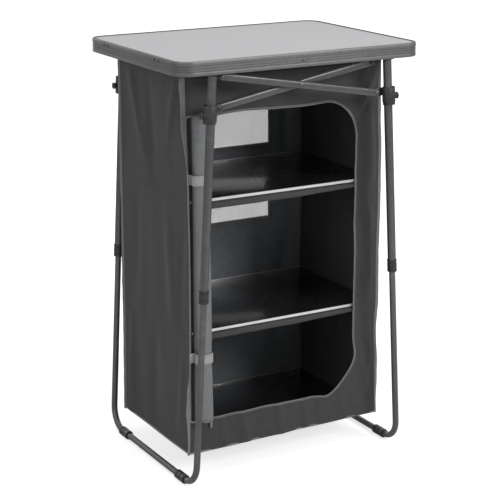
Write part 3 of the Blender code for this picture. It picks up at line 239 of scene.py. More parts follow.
def toned_finish(name, color, roughness, *tones, worn=None, rough=None, grain=None, drawn=None, **plain):
    """Material whose colour is uneven in (patches, amount) tones, one over another.

    worn is (colour, reach, broken) of its rubbed edges, grain (fineness, depth) of its bump, and drawn the stretch
    of drawn or ribbed lines. rough is (swing, least) of the roughness over the first tone, or over a drawn metal's
    lines.
    """
    material, tree, shader = new_finish(name, color, roughness, **plain)
    laid = []
    shown = (*color, 1.0)
    for patches, amount in tones:
        laid.append(add_effect(tree, uneven_tone, Color=shown, Patches=patches, Amount=amount))
        shown = laid[-1]["Color"]
    if worn:
        mask = add_effect(tree, rubbed_edges, Reach=worn[1], Broken=worn[2])["Mask"]
        shown = mixed(tree, mask, shown, (*worn[0], 1.0))
    feed(tree, shader, {"Base Color": shown})
    if grain:
        height = add_effect(tree, fine_grain, Fineness=grain[0], Stretch=drawn or (1.0, 1.0, 1.0))["Height"]
        join_bump(tree, shader, height, grain[1])
    if rough:
        swing = height if drawn and "metallic" in plain else laid[0]["Patch"]
        feed(tree, shader, {"Roughness": calc(tree, "MULTIPLY_ADD", swing, *rough)})
    return material


def skin(rings, looped=False):
    """Mesh through a row of rings of points, with its faces outwards. It has end caps, or runs round in a loop."""
    bm = bmesh.new()
    rows = [[bm.verts.new(point) for point in ring] for ring in rings]
    count = len(rows[0])
    for first, second in zip(rows, rows[1:] + rows[:1] if looped else rows[1:]):
        for k in range(count):
            m = (k + 1) % count
            bm.faces.new((first[k], first[m], second[m], second[k]))
    if not looped:
        bm.faces.new(rows[0])
        bm.faces.new(rows[-1])
    bmesh.ops.recalc_face_normals(bm, faces=bm.faces)
    return bm


def smoothed(piece, angle=180.0):
    """Shade a piece smooth up to an angle between its faces."""
    piece.data.shade_smooth()
    if angle < 180.0:
        piece.data.set_sharp_from_angle(angle=math.radians(angle))
    return piece


def add_piece(name, bm, material, sharp=35.0):
    """Object of a finished mesh, shaded smooth up to an angle."""
    piece = add_object(name, bpy.data.meshes.new(name))
    bm.to_mesh(piece.data)
    bm.free()
    piece.data.materials.append(material)
    return smoothed(piece, sharp)


def stand_for(piece, body, slot, *nodes):
    """Let a piece ride on a body and stand for CAD nodes, which are hidden. The slot is not used."""
    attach(piece, body)
    if nodes:
        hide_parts(*nodes)


def arc(middle, radius, first, sweep, steps):
    """Points of an arc as (a, b) pairs, from an angle in degrees through a sweep."""
    turns = [math.radians(first + sweep * k / steps) for k in range(steps + 1)]
    return [(middle[0] + radius * math.cos(turn), middle[1] + radius * math.sin(turn)) for turn in turns]


def rounded_outline(half_wide, half_high, corner, steps):
    """Points round a box with rounded corners, from the right end of its lower side."""
    a, b = half_wide - corner, half_high - corner
    points = []
    for x, y, first in ((a, -b, -90), (a, b, 0), (-a, b, 90), (-a, -b, 180)):
        points += arc((x, y), corner, first, 90, steps)
    return points


def from_mm(*rows):
    """Rows of millimetres, in metres."""
    return [tuple(value / 1000 for value in row) for row in rows]


board_low, board_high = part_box("tabletop_rim")
panel_low, panel_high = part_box("tabletop_panel")
board_corner = 0.036
board_seam = 0.004


def board_rings(steps, seam_gap):
    """Board's outlines at (inset, height) steps, each from the seam at the front round to the seam again."""
    rings = []
    for inset, z in steps:
        x, y = board_high.x - inset, board_high.y - inset
        outline = [(board_seam + seam_gap / 2, -y), *rounded_outline(x, y, board_corner - inset, 18)]
        outline.append((board_seam - seam_gap / 2, -y))
        rings.append([(*point, z) for point in outline])
    return rings


edging_metal = toned_finish(
    "dark_edging_metal", (0.170, 0.170, 0.172), 0.38, (5.0, 0.25), worn=((0.24, 0.24, 0.245), 0.05, 160.0),
    rough=(0.16, 0.34), grain=(1.0, 0.00003), drawn=(9.0, 9.0, 2600.0), metallic=0.5,
)
# (inset from the outer face, height above the underside) in millimetres, round the edging's section
rib = ((0.2, 0.0), (1.3, 0.5), (1.5, 1.1), (1.3, 1.8), (0.2, 2.6), (0.0, 3.2))
rib_levels = (7.4, 12.8, 18.2)
edging_section = [(0.0, 1.3), (0.0, 6.6)] + [(inset, low + up) for low in rib_levels for inset, up in rib]
edging_section += [
    (0.0, 29.0), (0.4, 30.2), (1.2, 30.9), (2.2, 31.0), (4.0, 31.0), (4.8, 30.7), (5.0, 29.8), (2.2, 29.6),
    (2.2, 16.0), (7.0, 15.8), (7.0, 14.4), (2.2, 14.4), (2.0, 0.4), (1.2, 0.0), (0.4, 0.4),
]
loops = board_rings([(inset, board_low.z + height) for inset, height in from_mm(*edging_section)], seam_gap=0.0004)
edging = add_piece("board_edging", skin(list(zip(*loops))), edging_metal, sharp=50)
stand_for(edging, "table_board", "grey_edging", "tabletop_rim")

laminate = toned_finish(
    "pale_laminate", (0.545, 0.545, 0.562), 0.42, (7.0, 0.05), (1400.0, 0.16), rough=(0.22, 0.3),
    grain=(520.0, 0.00004), coat_weight=0.12, coat_roughness=0.25,
)
panel_steps = ((0.0023, panel_low.z), (0.0023, panel_high.z - 0.0004), (0.0027, panel_high.z))
panel = add_piece("board_laminate", skin(board_rings(panel_steps, seam_gap=0.002)), laminate)
stand_for(panel, "table_board", "pale_laminate", "tabletop_panel")

# Seal between laminate and edging. It is a thin black strip of soft plastic, pressed in beside the edging's lip.
# It shows as a dark line round the top.
seal_black = toned_finish("black_seal", (0.03, 0.03, 0.031), 0.5, (30.0, 0.3))
seal_low = panel_high.z + 0.0002
seal_steps = ((0.0046, seal_low), (0.0049, board_high.z), (0.0062, board_high.z - 0.0002), (0.0066, seal_low))
seal = add_piece("board_seal", skin(board_rings(seal_steps, seam_gap=0.002), looped=True), seal_black, sharp=60)
stand_for(seal, "table_board", "grey_edging")


# Fixings. Blackened screws hold the edging at the short sides, and a plated rivet stands beside its seam.
# The domed heads are the same kind that the frame's rivets and pins have.
def place_on(tree, end, points, item, rotation):
    """Finish a Geometry Nodes tree with its item at each point, as real mesh."""
    inputs = {"Points": points, "Instance": item, "Rotation": rotation}
    placed = add_node(tree, "GeometryNodeInstanceOnPoints", inputs)[0]
    feed(tree, end, {0: add_node(tree, "GeometryNodeRealizeInstances", {"Geometry": placed})[0]})


def moved(tree, item, **moves):
    """Item moved, turned or scaled in a Geometry Nodes tree."""
    return add_node(tree, "GeometryNodeTransform", {"Geometry": item, **moves})[0]


def finished(tree, item, material):
    """Item with its material in a Geometry Nodes tree."""
    return add_node(tree, "GeometryNodeSetMaterial", {"Geometry": item, "Material": material})[0]


def joined(tree, *items):
    """Items of a Geometry Nodes tree as one."""
    join = tree.nodes.new("GeometryNodeJoinGeometry")
    for item in items:
        tree.links.new(item, join.inputs[0])
    return join.outputs[0]


def make_fixing_tree():
    """Geometry Nodes: a domed head at each point of a mesh, turned to the point's facing, with a driver's cross."""
    inputs = [("Points", "Geometry"), ("Head Radius", "Float"), ("Head Height", "Float"), ("Has Cross", "Bool")]
    inputs += [("Finish", "Material"), ("Cross Finish", "Material")]
    tree, given, end, keys = new_group("fixings_on_points", "GeometryNodeTree", inputs, [("Fixings", "Geometry")])
    radius = given["Head Radius"]
    size = add_node(tree, "ShaderNodeCombineXYZ", {0: radius, 1: radius, 2: given["Head Height"]})[0]

    ball = add_node(tree, "GeometryNodeMeshUVSphere", {"Segments": 20, "Rings": 10, "Radius": 1.0})[0]
    dome = finished(tree, moved(tree, ball, Scale=size), given["Finish"])
    bars = []
    for turn in (0.0, math.pi / 2):
        bar = add_node(tree, "GeometryNodeMeshCube", {"Size": (1.1, 0.2, 0.12)})[0]
        bar = moved(tree, bar, Translation=(0.0, 0.0, 0.96), Rotation=(0.0, 0.0, turn))
        bars.append(moved(tree, bar, Scale=size))
    marked = joined(tree, finished(tree, joined(tree, *bars), given["Cross Finish"]), dome)
    choice = {"Switch": given["Has Cross"], "False": dome, "True": marked}
    head = add_node(tree, "GeometryNodeSwitch", choice, input_type="GEOMETRY")[0]
    facing = add_node(tree, "GeometryNodeInputNamedAttribute", {"Name": "facing"}, data_type="FLOAT_VECTOR")[0]
    turned_out = add_node(tree, "FunctionNodeAlignRotationToVector", {"Vector": facing}, axis="Z")[0]
    place_on(tree, end, given["Points"], head, turned_out)
    return tree, keys


fixing_tree = make_fixing_tree()
plated = toned_finish("plated_steel", (0.15, 0.15, 0.152), 0.36, (260.0, 0.3), rough=(0.25, 0.25), metallic=1.0)
blackened = toned_finish("blackened_steel", (0.035, 0.035, 0.035), 0.4, (300.0, 0.4), metallic=0.8)


def settled(piece):
    """Turn a piece's modifiers into plain mesh."""
    graph = bpy.context.evaluated_depsgraph_get()
    mesh = bpy.data.meshes.new_from_object(piece.evaluated_get(graph))
    piece.modifiers.clear()
    piece.data = mesh
    mesh.name = piece.name
    return piece


def set_out(name, mesh, tree, keys, values):
    """Piece that a Geometry Nodes tree makes on a mesh's points or lines, as one plain mesh."""
    piece = add_object(name, mesh)
    modifier = piece.modifiers.new("set_out", "NODES")
    modifier.node_group = tree
    for label, value in values.items():
        modifier[keys[label]] = value
    return smoothed(settled(piece))


def add_fixings(name, places, material, body, slot, radius, height, cross=False):
    """Heads of rivets or screws at (place, facing) pairs, for a body."""
    mesh = bpy.data.meshes.new(name)
    mesh.from_pydata([place for place, facing in places], [], [])
    facings = mesh.attributes.new("facing", "FLOAT_VECTOR", "POINT")
    facings.data.foreach_set("vector", [value for place, facing in places for value in facing])
    values = {"Head Radius": radius, "Head Height": height, "Has Cross": cross}
    values.update({"Finish": material, "Cross Finish": blackened})
    stand_for(set_out(name, mesh, *fixing_tree, values), body, slot)


set_in = 0.0002
screw_level = board_low.z + 0.0236
screws = []
for side in (-1, 1):
    for y in (-0.135, -0.115, 0.115, 0.135):
        screws.append(((side * (board_high.x - set_in), y, screw_level), (side, 0.0, 0.0)))
add_fixings(
    "edging_screws", screws, blackened, "table_board", "grey_edging", radius=0.0030, height=0.0012, cross=True,
)
rivets = [((board_seam - 0.0085, set_in - board_high.y, board_low.z + 0.0150), (0.0, -1.0, 0.0))]
add_fixings("edging_rivet", rivets, plated, "table_board", "bright_steel", radius=0.0042, height=0.0018)


# Rails under the board. Two flat steel rails carry the board on the side tubes and are powder-coated grey.
# Their ends are bent down into stop tabs.
def softened(node, name, material, edge):
    """Copy of a CAD node's shape with its flat faces joined and its edges rounded."""
    bm = bmesh.new()
    bm.from_mesh(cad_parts[node].data)
    bmesh.ops.remove_doubles(bm, verts=bm.verts, dist=0.00001)
    bmesh.ops.dissolve_limit(bm, angle_limit=math.radians(1.0), verts=bm.verts, edges=bm.edges)
    piece = add_piece(name, bm, material, sharp=32)
    rounding = piece.modifiers.new("rounding", "BEVEL")
    rounding.width = edge
    rounding.segments = 2
    rounding.limit_method = "ANGLE"
    rounding.angle_limit = math.radians(34)
    rounding.use_clamp_overlap = True
    return smoothed(settled(piece), 40)


powder_coat = toned_finish(
    "grey_powder_coat", (0.100, 0.100, 0.104), 0.36, (14.0, 0.12), (2600.0, 0.35), worn=((0.3, 0.3, 0.3), 0.06, 70.0),
    rough=(0.22, 0.25), grain=(420.0, 0.00005), metallic=0.45, coat_weight=0.4, coat_roughness=0.12,
)
for end in ("front", "rear"):
    rail = softened("cross_rail_" + end, "board_rail_" + end, powder_coat, edge=0.0004)
    stand_for(rail, "table_board", "grey_painted_steel", "cross_rail_" + end)


# Side frames. Each has two upper legs of 19 mm steel tube and a side tube under the board, powder-coated grey.
# A lower U of thinner tube slides in its legs and makes the floor bar.
sides = {-1: "left", 1: "right"}
ends = {-1: "front", 1: "rear"}
corners = {(side, end): ends[end] + "_" + sides[side] for side in sides for end in ends}
frame_bodies = {-1: "left_frame_and_cabinet", 1: "right_frame"}
leg_lean = math.radians(3.14)
leg_at_rim = 0.2163
leg_depth = 0.2140
leg_top = 0.9155
upper_end = 0.460
upper_radius = 0.0095
lower_radius = 0.00725
floor_bar = 0.0105
bend_radius = 0.050


def leg_place(side, end, z):
    """Point on a leg's axis."""
    return Vector((side * (leg_at_rim + (board_low.z - z) * math.tan(leg_lean)), end * leg_depth, z))


def circle(radius, steps):
    """Points of a full circle round the middle."""
    return arc((0.0, 0.0), radius, 0, 360, steps)[:-1]


def add_tube(name, path, radius, body, node, steps=32):
    """Powder-coated round tube along a path. Its rings lie square to the path, and none of them twists."""
    points = [Vector(point) for point in path]
    rings = []
    side = None
    for before, point, after in zip(points[:1] + points, points, points[1:] + points[-1:]):
        way = (after - before).normalized()
        side = way.orthogonal() if side is None else side - way * side.dot(way)
        side.normalize()
        other = way.cross(side)
        rings.append([point + side * a + other * b for a, b in circle(radius, steps)])
    stand_for(add_piece(name, skin(rings), powder_coat, sharp=60), body, "grey_painted_steel", node)


for side, side_name in sides.items():
    for end in ends:
        corner = corners[side, end]
        path = [leg_place(side, end, z) for z in (leg_top, leg_top - 0.0005, 0.70, upper_end + 0.0006, upper_end)]
        add_tube("upper_leg_tube_" + corner, path, upper_radius, frame_bodies[side], "upper_leg_" + corner)
    low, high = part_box("side_tube_" + side_name)
    path = [(side * leg_at_rim, y, (low.z + high.z) / 2) for y in (low.y, 0.0, high.y)]
    add_tube("top_tube_" + side_name, path, upper_radius, frame_bodies[side], "side_tube_" + side_name)
    half = [leg_place(side, -1, z) for z in (upper_end + 0.055, 0.35, 0.20)]
    down = Vector((side * math.sin(leg_lean), 0.0, -math.cos(leg_lean)))
    bend_middle = leg_place(side, -1, floor_bar) - down * bend_radius + Vector((0.0, bend_radius, 0.0))
    for inward, deep in arc((0.0, 0.0), bend_radius, 180, -90, 14):
        half.append(bend_middle + Vector((0.0, inward, 0.0)) + down * deep)
    path = half + [Vector((point.x, -point.y, point.z)) for point in reversed(half)]
    legs = side_name + "_legs"
    add_tube("lower_u_tube_" + side_name, path, lower_radius, legs, "lower_frame_" + side_name, steps=28)


# Mouldings of the frame. Corner heads, collars, sliders, pull knobs and foot sleeves are black nylon.
# Collars are pressed into the upper legs and held by a rivet; sliders run on the legs and lock with a sprung pin.
def turned(name, profile, place, axis, material, body, slot, node, looped=False):
    """Turned piece: its profile of (radius, height) points is carried round an axis at a place."""
    matrix = Matrix.Translation(place) @ Vector(axis).to_track_quat("Z", "Y").to_matrix().to_4x4()
    rings = [[matrix @ Vector((a, b, height)) for a, b in circle(radius, 36)] for radius, height in profile]
    stand_for(add_piece(name, skin(rings, looped), material, sharp=32), body, slot, node)


def mirrored(half):
    """Profile that is the same above and below its middle."""
    return half + [(radius, -height) for radius, height in reversed(half)]


black_nylon = toned_finish(
    "black_nylon", (0.021, 0.021, 0.022), 0.42, (40.0, 0.3), worn=((0.09, 0.09, 0.092), 0.05, 120.0),
    rough=(0.3, 0.27), grain=(1500.0, 0.00005),
)
collar_profile = from_mm(
    (8.4, 0.0), (10.0, 0.0), (10.9, -0.6), (11.0, -1.4), (11.0, -5.8), (10.4, -6.6), (10.4, -8.6), (11.0, -9.4),
    (11.0, -20.0), (10.4, -20.8), (10.4, -22.8), (11.0, -23.6), (11.0, -28.6), (10.7, -29.5), (9.8, -30.0),
    (7.8, -30.0), (7.6, -29.0), (7.6, 0.0),
)
foot_half = from_mm((8.2, 19.0), (9.8, 19.0), (10.5, 18.2), (10.5, 7.5), (10.1, 6.8), (10.1, 5.2), (10.5, 4.5))
foot_profile = mirrored(foot_half) + from_mm((7.6, -18.4), (7.6, 18.4))
knob_profile = from_mm(
    (5.2, 4.4), (6.0, 4.1), (7.1, 4.0), (7.6, 3.4), (7.75, 2.6), (7.3, 1.8), (6.6, 1.2), (6.2, 0.2), (5.0, 0.0),
    (2.9, 0.0), (2.9, -4.5),
)
knob_face = 0.0044
for (side, end), corner in corners.items():
    body = frame_bodies[side]
    head = softened("corner_head_" + corner, "corner_moulding_" + corner, black_nylon, edge=0.0005)
    stand_for(head, body, "black_plastic", "corner_head_" + corner)
    slider = softened("slider_" + corner, "leg_slider_" + corner, black_nylon, edge=0.0005)
    stand_for(slider, "slider_" + corner, "black_plastic", "slider_" + corner)
    up = Vector((-side * math.sin(leg_lean), 0.0, math.cos(leg_lean)))
    low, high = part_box("foot_sleeve_" + corner)
    foot_place = ((low.x + high.x) / 2, (low.y + high.y) / 2, floor_bar)
    low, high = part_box("lock_knob_" + corner)
    knob_x = high.x - knob_face if side > 0 else low.x + knob_face
    knob_place = (knob_x, end * leg_depth, (low.z + high.z) / 2)
    for name, node, profile, place, axis, rides_on in (
        ("leg_collar_", "collar_", collar_profile, leg_place(side, end, upper_end), up, body),
        ("foot_grip_", "foot_sleeve_", foot_profile, foot_place, (0, 1, 0), sides[side] + "_legs"),
        ("pull_knob_", "lock_knob_", knob_profile, knob_place, (side, 0, 0), "knob_" + corner),
    ):
        hollow = profile is not knob_profile
        turned(name + corner, profile, place, axis, black_nylon, rides_on, "black_plastic", node + corner, hollow)
    rivet_place = leg_place(side, end, upper_end + 0.015) + Vector((0.0, end * upper_radius * 0.97, 0.0))
    rivets = [(rivet_place, (0.0, end, 0.0))]
    add_fixings("leg_rivet_" + corner, rivets, plated, body, "bright_steel", radius=0.0026, height=0.0011)

# Crossed bars. Flat-oval steel bars, powder-coated like the frame, turn on steel pins with domed heads.
# One pair crosses at the front and one at the rear, each held together by a rivet and a spacer.
pivot_top = (0.1900389, 0.911)
pivot_foot = (0.1937144, 0.844)
cross_height = 0.8778209
ear_depth = 0.2019
bar_step = 0.0066
bar_thickness = 0.009
bar_radius = 0.00825
bar_edge = 0.0042
pin_half = bar_step + bar_thickness / 2
pin_profile = mirrored([
    (0.0022, pin_half + 0.0016), (0.0040, pin_half + 0.0011), (0.0049, pin_half + 0.0003), (0.0049, pin_half),
    (0.0021, pin_half), (0.0021, 0.0018), (0.0065, 0.0018),
])


def bar_rings(start, stop, y):
    """Rings of a flat-oval bar between two points, from its front face to its back face."""
    angle = math.degrees(math.atan2(stop[1] - start[1], stop[0] - start[0]))
    rounded = arc((bar_edge, bar_edge), bar_edge, 270, -90, 5)
    faces = [(depth - bar_thickness / 2, inset) for inset, depth in rounded]
    faces += [(-offset, inset) for offset, inset in reversed(faces)]
    rings = []
    for offset, inset in faces:
        radius = bar_radius - inset
        outline = arc(stop, radius, angle - 90, 180, 12) + arc(start, radius, angle + 90, 180, 12)
        rings.append([(x, y + offset, z) for x, z in outline])
    return rings


for end, end_name in ends.items():
    for letter, order, way in (("a", "first", 1), ("b", "second", -1)):
        start, stop = (-way * pivot_top[0], pivot_top[1]), (way * pivot_foot[0], pivot_foot[1])
        rings = bar_rings(start, stop, end * (ear_depth + way * bar_step))
        bar = add_piece(f"crossed_bar_{end_name}_{letter}", skin(rings), powder_coat, sharp=50)
        stand_for(bar, f"{end_name}_bar_{order}", "grey_painted_steel", f"{end_name}_bar_{letter}")
    for level, (x, z), bodies in (
        ("top", pivot_top, frame_bodies),
        ("foot", pivot_foot, {side: "slider_" + corners[side, end] for side in sides}),
    ):
        for side in sides:
            out = end if (level == "top") == (side < 0) else -end
            caps = [((side * x, end * ear_depth + out * (pin_half + 0.0002), z), (0.0, out, 0.0))]
            name = "pivot_cap_" + level + "_" + corners[side, end]
            add_fixings(name, caps, plated, bodies[side], "bright_steel", radius=0.0050, height=0.0016)
    turned(
        "cross_pin_" + end_name, pin_profile, (0.0, end * ear_depth, cross_height), (0, 1, 0), plated,
        end_name + "_bar_first", "bright_steel", "cross_rivet_" + end_name,
    )


# Cabinet cloth. Charcoal canvas woven from a darker and a lighter yarn, cut in six panels that are sewn at the
# corners. The front frame is cut round the door opening and the back has two windows. It hangs from the side tubes.
def make_thread_weave():
    """Effect: plain weave on a UV map in metres, with the yarns' mixed tone, the height of the threads and painted
    shade between them.
    """
    inputs = [("Thread", "Float"), ("Dark", "Color"), ("Light", "Color")]
    outputs = [("Color", "Color"), ("Height", "Float")]
    tree, given, end, keys = new_group("thread_weave", "ShaderNodeTree", inputs, outputs)
    count = calc(tree, "DIVIDE", 1.0, given["Thread"])
    threads = scaled(tree, add_node(tree, "ShaderNodeTexCoord")["UV"], count)
    spot = add_node(tree, "ShaderNodeSeparateXYZ", {0: threads})
    steps = calc(tree, "ADD", calc(tree, "FLOOR", spot[0]), calc(tree, "FLOOR", spot[1]))
    over = calc(tree, "FLOORED_MODULO", steps, 2.0)
    arches = [calc(tree, "SINE", calc(tree, "MULTIPLY", calc(tree, "FRACT", spot[k]), math.pi)) for k in (0, 1)]
    tones = [speckle(tree, threads, run, 1.0, 2.0) for run in ((0.40, 0.02, 1.0), (0.02, 0.40, 1.0))]
    height = add_node(tree, "ShaderNodeMix", {0: over, 2: arches[0], 3: arches[1]})[0]
    tone = add_node(tree, "ShaderNodeMix", {0: over, 2: tones[0], 3: tones[1]})[0]
    tone = add_node(tree, "ShaderNodeMapRange", {0: tone, 1: 0.32, 2: 0.68})[0]
    color = mixed(tree, tone, given["Dark"], given["Light"])
    # Painted shade: the colour is darkened where the threads dip low between crossings.
    color_with_painted_shade = scaled(tree, color, calc(tree, "MULTIPLY_ADD", height, 0.55, 0.45))
    feed(tree, end, {"Color": color_with_painted_shade, "Height": height})
    return tree


thread_weave = make_thread_weave()


def woven_finish(name, dark, light, roughness, thread, depth, sheen):
    """Material of a woven cloth with its yarn colours, the width of its threads and the depth of its weave."""
    material, tree, shader = new_finish(name, light, roughness, sheen_weight=sheen)
    # The weave's colour carries painted shade between its threads.
    weave = add_effect(tree, thread_weave, Thread=thread, Dark=(*dark, 1.0), Light=(*light, 1.0))
    toned = add_effect(tree, uneven_tone, Color=weave["Color"], Patches=8.0, Amount=0.20, Stretch=(1.0, 1.0, 0.65))
    rough = calc(tree, "MULTIPLY_ADD", toned["Patch"], 0.14, roughness - 0.07)
    feed(tree, shader, {"Base Color": toned["Color"], "Roughness": rough})
    join_bump(tree, shader, weave["Height"], depth)
    return material


def sewn_sheet(name, rows, material, facing, thick, missing=None, closed=False):
    """Sheet of cloth over rows of (place, spot on its cut) points. Its outer side looks towards facing."""
    bm = bmesh.new()
    cut = bm.loops.layers.uv.new("cut")
    grid = [[bm.verts.new(place) for place, spot in row] for row in rows]
    columns = len(rows[0])
    for j in range(len(rows) - 1):
        for i in range(columns if closed else columns - 1):
            m = (i + 1) % columns
            if missing and missing(rows[j][i][0], rows[j + 1][m][0]):
                continue
            around = ((j, i), (j, m), (j + 1, m), (j + 1, i))
            face = bm.faces.new([grid[a][b] for a, b in around])
            for loop, (a, b) in zip(face.loops, around):
                loop[cut].uv = rows[a][b][1]
    bm.normal_update()
    if sum(face.normal.dot(facing) * face.calc_area() for face in bm.faces) < 0:
        bmesh.ops.reverse_faces(bm, faces=bm.faces)
    bmesh.ops.delete(bm, geom=[vert for vert in bm.verts if not vert.link_faces], context="VERTS")
    piece = add_piece(name, bm, material, sharp=60)
    wall = piece.modifiers.new("cloth_thickness", "SOLIDIFY")
    wall.thickness = thick
    wall.offset = -1
    return settled(piece)


def hang(piece, slot, *nodes):
    """Let a soft piece of the cabinet ride on the left frame, with a mesh of its own."""
    stand_for(piece, "left_frame_and_cabinet", slot, *nodes)
    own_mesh(piece)


def spaced(low, high, count):
    """Evenly spaced values from low to high."""
    return [low + (high - low) * k / count for k in range(count + 1)]


def clamped(value):
    """Value held between 0 and 1."""
    return min(1.0, max(0.0, value))


def ripple(a, b, seed):
    """Smooth unevenness over a sheet, between about -1 and 1."""
    return noise.noise(Vector((a, b, seed)))


canvas = woven_finish(
    "charcoal_canvas", (0.060, 0.0565, 0.059), (0.095, 0.0895, 0.0935), 0.86, thread=0.0006, depth=0.0001, sheen=0.12,
)
cloth_half = 0.2455
cloth_front = -0.1475
cloth_back = 0.1825
cloth_low = 0.0655
cloth_high = 0.905
cloth_thick = 0.0009
# (height, distance outboard) in millimetres along each corner of the cabinet
corner_out = {
    (-1, -1): from_mm(
        (60, 2), (100, 0), (210, -1), (350, -3.5), (510, -4.5), (650, -3.5), (720, -2), (790, 1), (905, 2),
    ),
    (1, -1): from_mm(
        (60, 4), (100, 2), (200, 0), (270, -6), (340, 0), (460, -1.5), (580, 0.5), (700, 0), (800, -5), (905, -7.5),
    ),
    (-1, 1): from_mm((60, 1), (150, 0), (320, -2), (500, -3), (700, -4), (905, -5)),
    (1, 1): from_mm((60, 2), (180, -1), (360, -2.5), (550, -1), (730, -2), (905, 0)),
}
stiff_levels = (0.07, 0.327, 0.632)
stiff_reach = 0.06
stiff_sink = 0.0052
loose_sink = 0.0035


def eased(table, z):
    """Value at a height between a table's (height, value) pairs, without kinks."""
    if z <= table[0][0]:
        return table[0][1]
    for (z0, value0), (z1, value1) in zip(table, table[1:]):
        if z <= z1:
            t = (z - z0) / (z1 - z0)
            return value0 + (value1 - value0) * t * t * (3 - 2 * t)
    return table[-1][1]


def held_out(x, z):
    """Distance of a side's cloth from the middle. It sinks in least beside the shelves and the base board."""
    away = min(abs(z - level) for level in stiff_levels)
    deepest = stiff_sink + loose_sink * min(1.0, away / stiff_reach)
    sunk = cloth_half - x
    return x if sunk <= 0 else cloth_half - deepest * math.tanh(sunk / deepest)


def corner_x(side, end, z):
    """Place of a corner of the cabinet, from the left or right."""
    return side * held_out(cloth_half + eased(corner_out[side, end], z), z)


def hem_drop(x, y, z):
    """How far the cloth sags at its lower edge, most at the left. The sag dies out above it."""
    sag = 0.0012 + 0.0040 * clamped((0.12 - x) / 0.25) + 0.0020 * ripple(x / 0.10, y / 0.10, 4.3)
    return sag * math.exp((cloth_low - z) / 0.03)


def crease_height(a, b, creases):
    """Height of a panel's creases at a point. Each crease is (start, end, width, height), its ends as two numbers."""
    total = 0.0
    for a0, b0, a1, b1, width, height in creases:
        run_a, run_b = a1 - a0, b1 - b0
        t = clamped(((a - a0) * run_a + (b - b0) * run_b) / (run_a**2 + run_b**2))
        gap = (a - a0 - run_a * t) ** 2 + (b - b0 - run_b * t) ** 2
        total += height * math.exp(-gap / width**2) * (0.35 + 0.65 * math.sin(math.pi * (0.1 + 0.8 * t)))
    return total


side_creases = from_mm(
    (-110, 900, -60, 760, 16, 4.5), (130, 900, 70, 720, 18, 4.2), (-130, 600, -100, 380, 14, -3.9),
    (-50, 580, -60, 360, 18, 3.6), (30, 860, 20, 670, 16, -3.9), (100, 600, 120, 380, 18, -3.6),
    (-120, 300, -100, 120, 14, 3.3), (20, 310, 30, 100, 20, -3.6), (140, 300, 150, 120, 14, 3.6),
    (-140, 634, 170, 634, 6, 1.6), (-140, 339, 170, 339, 6, 1.4),
)
for side, side_name in sides.items():
    rows = []
    for z in spaced(cloth_low, cloth_high, 140):
        row = []
        for s in spaced(0.0, 1.0, 66):
            y = cloth_front + 0.0004 + (cloth_back - cloth_front - 0.0008) * s
            loose = min(1.0, s / 0.10, (1 - s) / 0.10, (cloth_high - z) / 0.03 + 0.15)
            swell = crease_height(-side * y, z, side_creases) + 0.0032 * ripple(y / 0.07, z / 0.20, 7.0 + side)
            swell += 0.0004 * ripple(y / 0.022, z / 0.06, 2.0 + side)
            edge = abs(corner_x(side, -1, z) * (1 - s) + corner_x(side, 1, z) * s)
            x = side * held_out(edge + swell * loose, z)
            row.append(((x, y, z - hem_drop(x, y, z)), (y - cloth_front, z)))
        rows.append(row)
    wall = sewn_sheet("side_cloth_" + side_name, rows, canvas, Vector((side, 0, 0)), cloth_thick)
    hang(wall, "charcoal_cloth", "cloth_wall_" + side_name)

opening_left = -0.2430
opening_right = 0.182
opening_low = 0.137
opening_high = 0.822
free_corner = 0.082
hinge_corner = 0.006


def opening_line(out=0.0):
    """Points round the door opening, at a distance outside its edge. Its corners are tight at the hinge side."""
    stops = []
    for edge_x, edge_z, x_way, z_way, corner, first in (
        (opening_right, opening_low, -1, 1, free_corner, -90), (opening_right, opening_high, -1, -1, free_corner, 0),
        (opening_left, opening_high, 1, -1, hinge_corner, 90), (opening_left, opening_low, 1, 1, hinge_corner, 180),
    ):
        middle = (edge_x + x_way * corner, edge_z + z_way * corner)
        stops += [Vector(point) for point in arc(middle, corner + out, first, 90, 24)]
    points = []
    for start, stop in zip(stops, stops[1:] + stops[:1]):
        count = max(1, round((stop - start).length / 0.005))
        points += [start.lerp(stop, k / count) for k in range(count)]
    return points


def panel_edge_beside(x, z):
    """Point of the front panel's outer edge that lies beside a point of the opening's edge."""
    side = 1 if x > 0 else -1
    corner = free_corner if x > 0 else hinge_corner
    bend_x = opening_right - corner if x > 0 else opening_left + corner
    bend_z = min(max(z, opening_low + corner), opening_high - corner)
    edge_z = cloth_high if z > 0.5 else cloth_low
    beyond = (x - bend_x) * side
    if beyond <= 0.00001:
        return Vector((x, edge_z))
    share = math.atan2(abs(z - bend_z), beyond) / (math.pi / 2)
    if share < 0.5:
        return Vector((side * cloth_half, bend_z + (edge_z - bend_z) * share * 2))
    return Vector((bend_x + (side * cloth_half - bend_x) * (2 - 2 * share), edge_z))


front_creases = from_mm(
    (240, 893, 192, 800, 10, 10.5), (226, 850, 196, 772, 9, -4.1), (218, 800, 224, 640, 12, 8.5),
    (201, 735, 196, 560, 9, -3.7), (206, 610, 222, 500, 10, 7.1), (224, 470, 210, 330, 12, 7.8),
    (197, 430, 202, 300, 8, -3.4), (220, 300, 232, 200, 11, 8.8), (200, 230, 224, 120, 10, 6.8),
    (236, 170, 214, 85, 9, -3.4), (150, 128, 156, 74, 9, 5.7), (85, 126, 76, 70, 10, -2.8),
    (50, 130, 56, 72, 8, 4.2), (-18, 128, -10, 72, 11, 5.5), (-70, 126, -82, 72, 9, -2.5),
    (-110, 130, -104, 70, 10, 5), (-165, 130, -158, 72, 9, 4.2), (60, 890, 120, 835, 12, 4.5),
    (-200, 885, -120, 840, 12, 5), (-60, 850, 20, 880, 14, 3.2), (150, 895, 170, 830, 10, -2.5),
)
# (x, z, pull in x, pull in z, reach) in millimetres of the places where the opening's edge is drawn aside
edge_pulls = from_mm(
    (189, 225, 6, 0, 30), (160, 165, -3.5, 3.5, 30), (110, 137, 0, -5, 22), (-190, 822, 0, -4, 50),
    (30, 822, 0, -2, 70),
)


